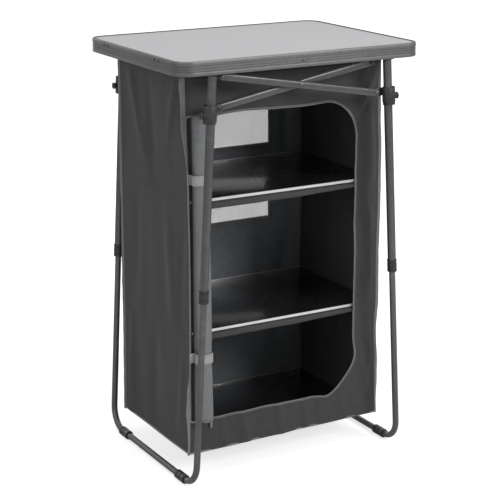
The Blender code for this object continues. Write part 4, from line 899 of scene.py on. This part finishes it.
def front_place(x, z, lift=0.0):
    """Place on the front cloth for a point of its cut, at a height above the cloth."""
    side = 1 if x > 0 else -1
    strip = clamped((abs(x) - 0.150) / 0.09)
    loose = min(1.0, (cloth_half - abs(x)) / 0.016, (cloth_high - z) / 0.02 + 0.1)
    beside_hinge = 0.35 + 0.65 * clamped((x - opening_left) / 0.08)
    swell = crease_height(x, z, front_creases) + 0.0014 + 0.0026 * ripple(x / 0.045, z / 0.05, 5.5)
    swell += 0.0022 * ripple(x / 0.050, z / 0.017, 8.1) * strip
    swell = max(swell, -0.0014) * loose * beside_hinge
    wave = 0.0022 * ripple(x / 0.075, z / 0.10, 1.7) * (1 - strip) * min(1.0, (cloth_high - z) / 0.02)
    out = (corner_x(side, -1, z) - side * cloth_half) * (abs(x) / cloth_half) ** 5
    place = Vector((x + out, cloth_front - swell - lift, z + wave - hem_drop(x, cloth_front, z)))
    for at_x, at_z, pull_x, pull_z, reach in edge_pulls:
        near = math.exp(-((x - at_x) ** 2 + (z - at_z) ** 2) / reach**2)
        place += Vector((pull_x * near, 0.0, pull_z * near))
    return place


opening_edge = opening_line()
rows = []
for share in spaced(0.0, 1.0, 16):
    spots = [point.lerp(panel_edge_beside(point.x, point.y), share) for point in opening_edge]
    rows.append([(front_place(spot.x, spot.y), tuple(spot)) for spot in spots])
front = sewn_sheet("front_cloth", rows, canvas, Vector((0, -1, 0)), cloth_thick, closed=True)
hang(front, "charcoal_cloth", "cloth_front")

window_half = 0.1475
window_levels = ((0.486, 0.606), (0.669, 0.800))
back_step = 0.007
back_creases = from_mm(
    (-210, 880, -180, 660, 14, 5.2), (210, 860, 190, 600, 14, 5.8), (-190, 450, -200, 200, 16, 5.2),
    (200, 420, 170, 160, 16, 5), (-80, 440, -50, 140, 20, 4.8), (60, 420, 100, 120, 20, 5.4),
    (-100, 895, 20, 830, 14, 4), (40, 890, 140, 820, 12, -1.4),
)


def steps_between(stops, size):
    """Values from stop to stop, no further apart than a size."""
    values = [stops[0]]
    for start, stop in zip(stops, stops[1:]):
        values += spaced(start, stop, max(1, math.ceil((stop - start) / size)))[1:]
    return values


def in_window(low, high):
    """Whether a face between two places lies in a window."""
    z = (low[2] + high[2]) / 2
    return abs(low[0] + high[0]) / 2 < window_half and any(a < z < b for a, b in window_levels)


rows = []
for z in steps_between((cloth_low, *window_levels[0], *window_levels[1], cloth_high), back_step):
    row = []
    for x in steps_between((-cloth_half, -window_half, window_half, cloth_half), back_step):
        near = [abs(z - edge) for level in window_levels for edge in level] if abs(x) < 0.17 else [1.0]
        loose = min(1.0, (cloth_half - abs(x)) / 0.03, min(near) / 0.02, (cloth_high - z) / 0.02 + 0.1)
        swell = crease_height(x, z, back_creases) + 0.0014 + 0.0030 * ripple(x / 0.05, z / 0.2, 9.4)
        side = 1 if x > 0 else -1
        out = eased(corner_out[side, 1], z) * (abs(x) / cloth_half) ** 5
        place = (x + side * out, cloth_back + max(swell, 0.0) * loose, z - hem_drop(x, cloth_back, z))
        row.append((place, (x, z)))
    rows.append(row)
back = sewn_sheet("back_cloth", rows, canvas, Vector((0, 1, 0)), cloth_thick, missing=in_window)
# The back's inner face takes a paler coated cloth. Its paleness is partly the coating and partly painted light, for
# light that comes through the back cloth and the sheen of the coating.
coated_back_painted_light = woven_finish(
    "coated_back_painted_light", (0.180, 0.194, 0.213), (0.350, 0.376, 0.406), 0.6, thread=0.0006, depth=0.00006, sheen=0.05,
)
back.data.materials.append(coated_back_painted_light)
for face in back.data.polygons:
    if face.normal.y < -0.5:
        face.material_index = 1
hang(back, "charcoal_cloth", "cloth_back")

for name, z, node, up, sag in (
    ("roof_cloth", cloth_high - 0.0006, "cloth_roof", 1, 0.0030),
    ("floor_cloth", cloth_low + 0.0016, "cloth_floor", -1, 0.0),
):
    rows = []
    for t in spaced(0.0, 1.0, 40):
        y = cloth_front + 0.0012 + (cloth_back - cloth_front - 0.0024) * t
        row = []
        for s in spaced(0.0, 1.0, 60):
            x = (cloth_half - 0.0014) * (2 * s - 1)
            uneven = 1 + 0.5 * ripple(x / 0.06, y / 0.06, 3.3)
            row.append(((x, y, z - math.sin(math.pi * t) * math.sin(math.pi * s) * sag * uneven), (x, y)))
        rows.append(row)
    panel = sewn_sheet(name, rows, canvas, Vector((0, 0, up)), cloth_thick)
    hang(panel, "charcoal_cloth", node)


# Bound seams. Grey tape is folded over the raw edges where the panels meet, so a flat flange stands at each corner.
# The same tape runs round the bottom as a hem, and a row of stitches goes through its middle.
def make_stitch_tree():
    """Geometry Nodes: small items at even steps along the lines of a mesh, such as stitches or a zip's teeth."""
    inputs = [("Lines", "Geometry"), ("Step", "Float"), ("Item Size", "Vector"), ("Facing", "Vector")]
    inputs.append(("Finish", "Material"))
    tree, given, end, keys = new_group("items_along_lines", "GeometryNodeTree", inputs, [("Items", "Geometry")])
    line = add_node(tree, "GeometryNodeMeshToCurve", {"Mesh": given["Lines"]})[0]
    points = add_node(tree, "GeometryNodeResampleCurve", {"Curve": line, "Length": given["Step"]}, mode="LENGTH")[0]
    ball = add_node(tree, "GeometryNodeMeshIcoSphere", {"Radius": 1.0, "Subdivisions": 1})[0]
    item = finished(tree, moved(tree, ball, Scale=given["Item Size"]), given["Finish"])
    way = add_node(tree, "GeometryNodeInputTangent")[0]
    along = add_node(tree, "FunctionNodeAlignRotationToVector", {"Vector": way}, axis="X")[0]
    turn = {"Rotation": along, "Vector": given["Facing"]}
    turn = add_node(tree, "FunctionNodeAlignRotationToVector", turn, axis="Z", pivot_axis="X")[0]
    place_on(tree, end, points, item, turn)
    return tree, keys


stitch_tree = make_stitch_tree()


def items_along(name, lines, step, size, material, facing=(0.0, -1.0, 0.0), closed=False):
    """Plain mesh of the items that stand along lines of points."""
    points = []
    edges = []
    for line in lines:
        first = len(points)
        points += [tuple(point) for point in line]
        edges += [(k, k + 1) for k in range(first, len(points) - 1)]
        if closed:
            edges.append((len(points) - 1, first))
    mesh = bpy.data.meshes.new(name)
    mesh.from_pydata(points, edges, [])
    return set_out(name, mesh, *stitch_tree, {"Step": step, "Item Size": size, "Facing": facing, "Finish": material})


binding_tape = toned_finish(
    "grey_binding_tape", (0.260, 0.260, 0.262), 0.72, (60.0, 0.22), (1500.0, 0.3), rough=(0.2, 0.62),
    grain=(1.0, 0.00012), drawn=(700.0, 700.0, 2600.0), sheen_weight=0.1,
)
dark_thread = toned_finish("dark_thread", (0.03, 0.03, 0.031), 0.7, (700.0, 0.3))
grey_thread = toned_finish("grey_thread", (0.12, 0.12, 0.122), 0.65, (700.0, 0.3))
stitch_step = 0.0042
seam_stitch = (0.0014, 0.0003, 0.00022)
flange_thick = 0.0018
stitch_share = 0.55
# (height, degrees) of each flange, from straight out sideways to straight out to the front or rear
flange_turns = {
    (-1, -1): [
        (0.06, 10), (0.16, 14), (0.21, 30), (0.26, 70), (0.35, 82), (0.6, 85), (0.68, 80), (0.74, 45), (0.79, 8),
        (0.905, 0),
    ],
    (1, -1): [
        (0.06, 10), (0.12, 25), (0.27, 50), (0.34, 30), (0.46, 40), (0.58, 20), (0.7, 28), (0.8, 45), (0.905, 60),
    ],
    (-1, 1): [(0.06, 20), (0.18, 45), (0.36, 30), (0.55, 60), (0.75, 40), (0.905, 50)],
    (1, 1): [(0.06, 15), (0.16, 40), (0.33, 60), (0.52, 35), (0.72, 55), (0.905, 40)],
}
# (height, width) in millimetres of each flange
flange_widths = {
    (-1, -1): from_mm(
        (60, 5.5), (100, 6), (160, 10.5), (200, 10.5), (250, 7), (300, 5.5), (600, 6), (680, 7), (740, 9),
        (800, 12), (905, 12.5),
    ),
    (1, -1): from_mm((60, 3.4), (110, 4), (160, 6.5)),
    (-1, 1): from_mm((60, 6)),
    (1, 1): from_mm((60, 6)),
}
tape = bmesh.new()


def add_shell(rings, looped=False):
    """Add a closed skin through rings to the tape, with its faces outwards."""
    shell = skin(rings, looped)
    mesh = bpy.data.meshes.new("shell")
    shell.to_mesh(mesh)
    shell.free()
    tape.from_mesh(mesh)
    bpy.data.meshes.remove(mesh)


seams = []
for side, end in corners:
    rings = []
    line = []
    for z in spaced(cloth_low - 0.002, cloth_high, 170):
        turn = math.radians(eased(flange_turns[side, end], z) + 14 * ripple(z / 0.045, side * 3.0, end * 5.0))
        way = Vector((side * math.cos(turn), end * math.sin(turn), 0.0))
        across = Vector((0.0, 0.0, 1.0)).cross(way)
        start = Vector((corner_x(side, end, z), cloth_front if end < 0 else cloth_back, z)) - way * 0.0006
        start.x = side * held_out(abs(start.x), start.z)
        start.z -= hem_drop(start.x, start.y, z)
        wide = eased(flange_widths[side, end], z) * (1 + 0.12 * ripple(z / 0.03, side * 7.0, end * 2.0))
        ring = [start - across * flange_thick / 2, start + across * flange_thick / 2]
        for out, over in arc((wide - flange_thick / 2, 0.0), flange_thick / 2, 90, -180, 6):
            ring.append(start + way * out + across * over)
        rings.append(ring)
        line.append(start + way * wide * stitch_share + across * (flange_thick / 2 + 0.00005) * (-side * end))
    add_shell(rings)
    seams.append(line)

# (distance out, height) in millimetres round the hem's section
hem_half = [(1.3, 3.0), (1.7, 2.5), (1.7, -0.8), (1.0, -1.5)]
hem_section = from_mm(*hem_half, *((-out, up) for out, up in reversed(hem_half)))
plan = []
for side, end in ((-1, -1), (1, -1), (1, 1), (-1, 1), (-1, -1)):
    plan.append(Vector((corner_x(side, end, cloth_low), cloth_front if end < 0 else cloth_back)))
hem_path = []
for start, stop in zip(plan, plan[1:]):
    count = round((stop - start).length / 0.006)
    hem_path += [start.lerp(stop, k / count) for k in range(count)]
rings = []
hem_line = []
for k, point in enumerate(hem_path):
    way = hem_path[(k + 1) % len(hem_path)] - hem_path[k - 1]
    out = Vector((way.y, -way.x, 0.0)).normalized()
    middle = Vector((point.x, point.y, cloth_low - hem_drop(point.x, point.y, cloth_low))) - out * 0.0004
    rings.append([middle + out * a + Vector((0.0, 0.0, b)) for a, b in hem_section])
    hem_line.append(middle + out * 0.00175 + Vector((0.0, 0.0, 0.0010)))
add_shell(rings, looped=True)
hang(add_piece("seam_binding", tape, binding_tape, sharp=50), "grey_binding", "edge_binding")
hang(items_along("seam_stitches", seams, stitch_step, seam_stitch, dark_thread), "grey_binding")
hang(items_along("hem_stitches", [hem_line], stitch_step, seam_stitch, dark_thread, closed=True), "grey_binding")

# Door opening. The cut edge is bound with grey tape, and the door's zip is sewn beside it.
# The zip's coil of nylon teeth stands on the tape, and its pull hangs at the lower left.
tape_inner = -0.0004
tape_outer = 0.0042
tape_stitch = (0.0013, 0.0003, 0.0002)
tape_step = 0.0040
rings = []
tape_line = []
lift = Vector((0.0, -1.0, 0.0))
for point, outer in zip(opening_line(tape_inner), opening_line(tape_outer)):
    inner_place = front_place(point.x, point.y)
    outer_place = front_place(max(outer.x, 0.0004 - cloth_half), outer.y)
    way = (outer_place - inner_place).normalized()
    lip = inner_place - lift * 0.0016
    over = [inner_place - way * 0.0006 + lift * 0.0002, inner_place + way * 0.0004 + lift * 0.0011]
    over += [outer_place - way * 0.0006 + lift * 0.0010, outer_place + lift * 0.0004]
    under = [outer_place - lift * 0.0002, inner_place + way * 0.0012 - lift * 0.0002]
    rings.append([lip + way * 0.0030, lip, *over, *under])
    tape_line.append(outer_place - way * 0.0011 + lift * 0.00105)
opening_tape = add_piece("opening_tape", skin(rings, looped=True), binding_tape, sharp=50)
hang(opening_tape, "grey_binding", "opening_zip")
hang(items_along("opening_stitches", [tape_line], tape_step, tape_stitch, dark_thread, closed=True), "grey_binding")
coil_nylon = toned_finish("coil_nylon", (0.055, 0.055, 0.057), 0.38, (700.0, 0.3))
coil_out = 0.0016
coil_lift = 0.0012
tooth = (0.00055, 0.0012, 0.0005)
tooth_step = 0.0016
coil = opening_line(coil_out)
hinge_end = opening_left + hinge_corner
free_from = max(k for k, point in enumerate(coil) if point.x < hinge_end) + 1
coil = [point for point in coil[free_from:] + coil[:free_from] if point.x > hinge_end]
teeth_line = [front_place(point.x, point.y, coil_lift) for point in coil]
hang(items_along("zip_teeth", [teeth_line], tooth_step, tooth, coil_nylon), "grey_binding")

# Windows. Pale fly netting is sewn behind two windows in the back, with a turned edge all round.
# Its round threads leave small square holes, so it is partly see-through.
net_step = 0.0014
net_thread = 0.18
net_edge = 0.009
net_stitch = (0.0014, 0.0003, 0.00025)
net_facing = (0.0, 1.0, 0.0)
netting = toned_finish("pale_netting", (0.46, 0.46, 0.465), 0.8, (30.0, 0.2))
tree = netting.node_tree
spot = add_node(tree, "ShaderNodeSeparateXYZ", {0: add_node(tree, "ShaderNodeTexCoord")["UV"]})
gaps = []
for axis in (0, 1):
    place = calc(tree, "FRACT", calc(tree, "DIVIDE", spot[axis], net_step))
    gaps.append(calc(tree, "ABSOLUTE", calc(tree, "SUBTRACT", place, 0.5)))
edge = {0: calc(tree, "MINIMUM", *gaps), 1: net_thread - 0.05, 2: net_thread + 0.05, 3: 1.0, 4: 0.0}
threads = add_node(tree, "ShaderNodeMapRange", edge)[0]
feed(tree, tree.nodes["Principled BSDF"], {"Alpha": threads})
join_bump(tree, tree.nodes["Principled BSDF"], threads, 0.0003)
for name, (low, high) in zip(("lower", "upper"), window_levels):
    rows = []
    for z in steps_between((low - net_edge, high + net_edge), 0.006):
        row = []
        for x in steps_between((-window_half - net_edge, window_half + net_edge), 0.006):
            loose = clamped((window_half - abs(x)) / 0.02) * clamped(min(z - low, high - z) / 0.02)
            row.append(((x, cloth_back - 0.0012 + 0.0016 * ripple(x / 0.06, z / 0.04, 6.6) * loose, z), (x, z)))
        rows.append(row)
    net = sewn_sheet("net_" + name, rows, netting, Vector((0, 1, 0)), thick=0.0003)
    hang(net, "pale_netting", "window_net_" + name)
    lines = []
    for grow in (0.0035, 0.0070):
        x, y, z0, z1 = window_half + grow, cloth_back + 0.0022, low - grow, high + grow
        around = [Vector(point) for point in ((-x, y, z0), (x, y, z0), (x, y, z1), (-x, y, z1), (-x, y, z0))]
        lines += [[start.lerp(stop, t) for t in spaced(0.0, 1.0, 20)] for start, stop in zip(around, around[1:])]
    stitches = items_along("net_stitches_" + name, lines, stitch_step, net_stitch, grey_thread, facing=net_facing)
    hang(stitches, "charcoal_cloth")

# Rolled door. The door panel is unzipped, rolled up from its free side and hangs at the left of the opening.
# Two pale grey straps go round the roll, with their tails sewn to the seam's tape. The door's inner side is paler.
coated_cloth = woven_finish(
    "coated_cloth", (0.230, 0.238, 0.246), (0.350, 0.361, 0.372), 0.62, thread=0.0006, depth=0.00008, sheen=0.05,
)
strap_web = woven_finish(
    "pale_strap", (0.50, 0.50, 0.49), (0.70, 0.70, 0.68), 0.7, thread=0.0009, depth=0.00016, sheen=0.1,
)
roll_top = Vector((-0.2189, -0.1625, 0.826))
roll_foot = Vector((-0.2134, -0.1625, 0.138))
roll_reach = 0.0122
roll_wide = 1.62
roll_core = 0.0020
roll_turns = 7.1
roll_stitch = (0.0014, 0.0003, 0.0002)
strap_levels = (0.687, 0.287)
strap_high = 0.022
strap_stitch = (0.0012, 0.00028, 0.0002)
strap_stitch_step = 0.0036
# (distance from the hinge side, depth behind the front) in millimetres where the door leads into its roll
lead_line = from_mm((12.5, 1.0), (10.0, 4.5), (7.0, 5.8), (4.0, 5.0), (1.5, 3.0), (0.2, 0.6))


def roll_point(turn, radius, z):
    """Point of the roll. It is an oval, pinched by the straps and slack between them."""
    pinch = sum(math.exp(-(((z - level) / 0.030) ** 2)) for level in strap_levels)
    flare = math.exp((roll_foot.z - z) / 0.05) + math.exp((z - roll_top.z) / 0.04)
    slack = 0.035 * ripple(z / 0.07, math.cos(turn) * 0.6, math.sin(turn) * 0.6)
    size = radius * (0.965 - 0.075 * pinch + 0.03 * min(1.0, flare) + slack)
    middle = roll_foot.lerp(roll_top, (z - roll_foot.z) / (roll_top.z - roll_foot.z))
    return Vector((middle.x + roll_wide * size * math.cos(turn), middle.y + size * math.sin(turn), z))


def measured(path, spot):
    """Row of a sheet along a path. spot gives a point's place on the cut from the length run and the point."""
    row = []
    run = 0.0
    for k, place in enumerate(path):
        run += math.dist(place, path[k - 1]) if k else 0.0
        row.append((place, spot(run, place)))
    return row


rows = []
for t in spaced(0.0, 1.0, 70):
    level = roll_foot.z + 0.001 + (roll_top.z - roll_foot.z - 0.002) * t
    path = []
    for s in spaced(0.0, 1.0, 220):
        turn = math.radians(120) - 2 * math.pi * roll_turns * (1 - s)
        skew = 0.0018 * math.sin(turn * 1.3) * s * abs(2 * t - 1) ** 6
        z = level + (skew if t < 0.5 else -skew)
        path.append(roll_point(turn, roll_core + (roll_reach - roll_core) * s, z))
    path += [Vector((opening_left + step, cloth_front + depth, z)) for step, depth in lead_line]
    rows.append(measured(path, lambda run, place: (run, place.z)))
rolled = sewn_sheet("rolled_door", rows, coated_cloth, Vector((0, 0, 1)), thick=0.0007)
rolled.data.materials.append(canvas)
for face in rolled.data.polygons:
    if face.center.x < opening_left + 0.012 and face.center.y > cloth_front - 0.002:
        face.material_index = 1
stand_for(rolled, "left_frame_and_cabinet", "grey_binding", "door_roll")
hem_lines = []
for z in (roll_foot.z + 0.007, roll_top.z - 0.007):
    hem_lines.append([roll_point(math.radians(110 - 3 * k), roll_reach + 0.0002, z) for k in range(97)])
roll_stitches = items_along("roll_stitches", hem_lines, stitch_step, roll_stitch, dark_thread)
stand_for(roll_stitches, "left_frame_and_cabinet", "grey_binding")

for name, level in zip(("upper", "lower"), strap_levels):
    rows = []
    for z in spaced(level - strap_high / 2, level + strap_high / 2, 8):
        path = [Vector((opening_left + step, cloth_front - 0.0042, z)) for step in (-0.0024, 0.0010, 0.0040)]
        for t in spaced(0.0, 1.0, 48):
            path.append(roll_point(math.radians(118 - 352 * t), roll_reach + 0.0016 + 0.0012 * t, z))
        rows.append(measured(path, lambda run, place: (run, place.z)))
    strap = sewn_sheet("strap_" + name, rows, strap_web, Vector((0, 1, 0)), thick=0.0011)
    rim = strap.modifiers.new("soft_edge", "BEVEL")
    rim.width = 0.00025
    rim.segments = 2
    rim.angle_limit = math.radians(50)
    settled(strap)
    stand_for(strap, "left_frame_and_cabinet", "grey_binding", "door_strap_" + name)
    lines = []
    for z in (level - 0.0085, level + 0.0085):
        lines.append([roll_point(math.radians(20 - 6 * k), roll_reach + 0.0026, z) for k in range(38)])
    stitches = items_along("strap_stitches_" + name, lines, strap_stitch_step, strap_stitch, grey_thread)
    stand_for(stitches, "left_frame_and_cabinet", "grey_binding")


# Zip pull. A small cast slider sits on the coil at the end of the door's zip.
# A flat pull hangs on its loop.
def flat_bead(name, middle, half_wide, half_high, thick, material):
    """Small flat cast piece with rounded ends that faces the front."""
    outline = rounded_outline(half_wide, half_high, half_wide * 0.55, 5)
    rings = []
    for inset, depth in ((0.35, 0.0), (0.08, 0.12), (0.0, 0.35), (0.0, 0.65), (0.08, 0.88), (0.35, 1.0)):
        scale = 1 - inset * thick / half_wide * 0.8
        rings.append([middle + Vector((x * scale, thick * (depth - 0.5), z * scale)) for x, z in outline])
    return add_piece(name, skin(rings), material, sharp=40)


pull_place = front_place(-0.1950, opening_low - 0.0016, 0.0024)
hang(flat_bead("zip_slider", pull_place, 0.0042, 0.0052, 0.0030, blackened), "black_plastic")
tab_place = pull_place + Vector((0.0004, -0.0027, -0.0105))
hang(flat_bead("zip_pull", tab_place, 0.0029, 0.0085, 0.0013, binding_tape), "grey_binding")

# Hanging sleeves. The cabinet hangs by two sleeves of black webbing that are sewn round the tubes under the board.
# Each is one band, wrapped round its tube and stitched along the lower edges.
black_webbing = woven_finish(
    "black_webbing", (0.020, 0.020, 0.020), (0.042, 0.042, 0.042), 0.7, thread=0.0014, depth=0.00025, sheen=0.1,
)
for side, side_name in sides.items():
    low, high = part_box("hanging_sleeve_" + side_name)
    x = (low.x + high.x) / 2
    reach = (high.x - low.x) / 2
    rows = []
    for y in spaced(low.y, high.y, 40):
        loop = [(x, y, low.z)]
        for turn in (math.radians(-78 + 336 * t) for t in spaced(0.0, 1.0, 28)):
            puff = reach - 0.0001 + 0.0003 * ripple(y / 0.03, math.cos(turn), math.sin(turn))
            loop.append((x + puff * math.cos(turn), y, high.z - reach + puff * math.sin(turn)))
        loop.append((x + 0.0012, y, low.z + 0.0004))
        rows.append(measured(loop, lambda run, place: (place[1], run)))
    sleeve = sewn_sheet("tube_sleeve_" + side_name, rows, black_webbing, Vector((0, 0, 1)), thick=0.0009)
    stand_for(sleeve, frame_bodies[side], "black_webbing", "hanging_sleeve_" + side_name)

# Shelves. Loose boards with a glossy black face and a bright metal strip on the front edge lie in cloth slings.
# A thin bright strip also closes each board's rear edge. The slings are sewn to the walls, with a grey band in front.
gloss_black = toned_finish(
    "gloss_black_board", (0.014, 0.014, 0.015), 0.28, (12.0, 0.25), rough=(0.12, 0.22),
    grain=(140.0, 0.00003), coat_weight=0.9, coat_roughness=0.18, coat_ior=1.75,
)
bright_strip = toned_finish(
    "bright_strip", (0.90, 0.905, 0.91), 0.28, (20.0, 0.16), rough=(0.25, 0.18),
    grain=(1.0, 0.00002), drawn=(8.0, 1400.0, 1400.0), metallic=0.45,
)
sling_band = woven_finish(
    "sling_band", (0.050, 0.050, 0.052), (0.100, 0.100, 0.103), 0.75, thread=0.0007, depth=0.0001, sheen=0.08,
)


def strip_along(name, section, *stops):
    """Bright metal strip whose (y, z) section runs from side to side through its stops."""
    return add_piece(name, skin([[(x, y, z) for y, z in section(x)] for x in stops]), bright_strip, sharp=30)


def rear_strip(name, half, corner, high):
    """Thin bright strip along the rear edge of a board, a little proud of its top."""
    y, z = corner.y, corner.z - 0.0004
    top = z + high
    section = [(y, z), (y - 0.0008, z), (y - 0.0009, top)]
    section += [(y - 0.0006, top + 0.0003), (y - 0.0002, top + 0.0003), (y, top)]
    return strip_along(name, lambda x: section, -half, half)


for level in ("upper", "lower"):
    body = level + "_shelf"
    board = softened("shelf_board_" + level, "larder_shelf_" + level, gloss_black, edge=0.0009)
    stand_for(board, body, "gloss_black_board", "shelf_board_" + level)
    trim_low, trim_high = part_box("shelf_trim_" + level)

    def trim_section(x):
        """The trim's section: its ends are drawn in a little, and its face is slightly hollow."""
        end = 0.0003 if x in (trim_low.x, trim_high.x) else 0.0
        y0, y1, z0, z1 = trim_low.y + end, trim_high.y, trim_low.z + end, trim_high.z - end
        lower = [(y1, z0), (y0 + 0.0006, z0), (y0 + 0.0001, z0 + 0.0004), (y0, z0 + 0.0010)]
        upper = [(y, z0 + z1 - z) for y, z in reversed(lower)]
        return lower + [(y0 + 0.0003, (z0 + z1) / 2)] + upper

    stops = (trim_low.x, trim_low.x + 0.0006, trim_high.x - 0.0006, trim_high.x)
    trim = strip_along("shelf_strip_" + level, trim_section, *stops)
    stand_for(trim, body, "bright_trim", "shelf_trim_" + level)
    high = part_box("shelf_board_" + level)[1]
    stand_for(rear_strip("shelf_rear_strip_" + level, high.x - 0.002, high, 0.0022), body, "bright_trim")
    low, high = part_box("shelf_sling_" + level)
    bend = low.y + 0.0022
    depths = [(low.y + 0.0002, low.z), (low.y, low.z + 0.004), (low.y, high.z - 0.004)]
    depths += [(low.y + 0.0004, high.z - 0.0008)] + [(y, high.z - 0.0001) for y in spaced(bend, high.y, 40)]
    rows = []
    for k, ((y, z), cut) in enumerate(measured(depths, lambda run, place: run)):
        row = []
        for x in spaced(low.x, high.x, 60):
            sag = 0.0008 * abs(ripple(x / 0.05, y / 0.05, 1.2)) + (0.0005 if z > high.z - 0.001 else 0.0)
            wave = 0.0006 * ripple(x / 0.04, z / 0.02, 2.2) if k < 4 else 0.0
            narrow = 0.55 * max(0.0, (x - 0.02) / 0.22) + 0.12 * ripple(x / 0.05, 0.0, 3.4)
            rise = (high.z - z) * narrow if k < 4 else 0.0
            row.append(((x, y + 0.0004 + wave, z - sag + max(0.0, rise)), (x, cut)))
        rows.append(row)
    sling = sewn_sheet("sling_cloth_" + level, rows, sling_band, Vector((0, -1, -1)), thick=0.0009)
    hang(sling, "charcoal_cloth", "shelf_sling_" + level)

# Base board. A thin black board of the same kind lies loose on the cloth floor.
# It keeps the cabinet's bottom square, and a low bright strip closes its rear edge.
hang(softened("base_board", "cabinet_base_board", gloss_black, edge=0.0006), "gloss_black_board", "base_board")
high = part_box("base_board")[1]
hang(rear_strip("base_rear_strip", high.x - 0.003, high, 0.0010), "bright_trim")
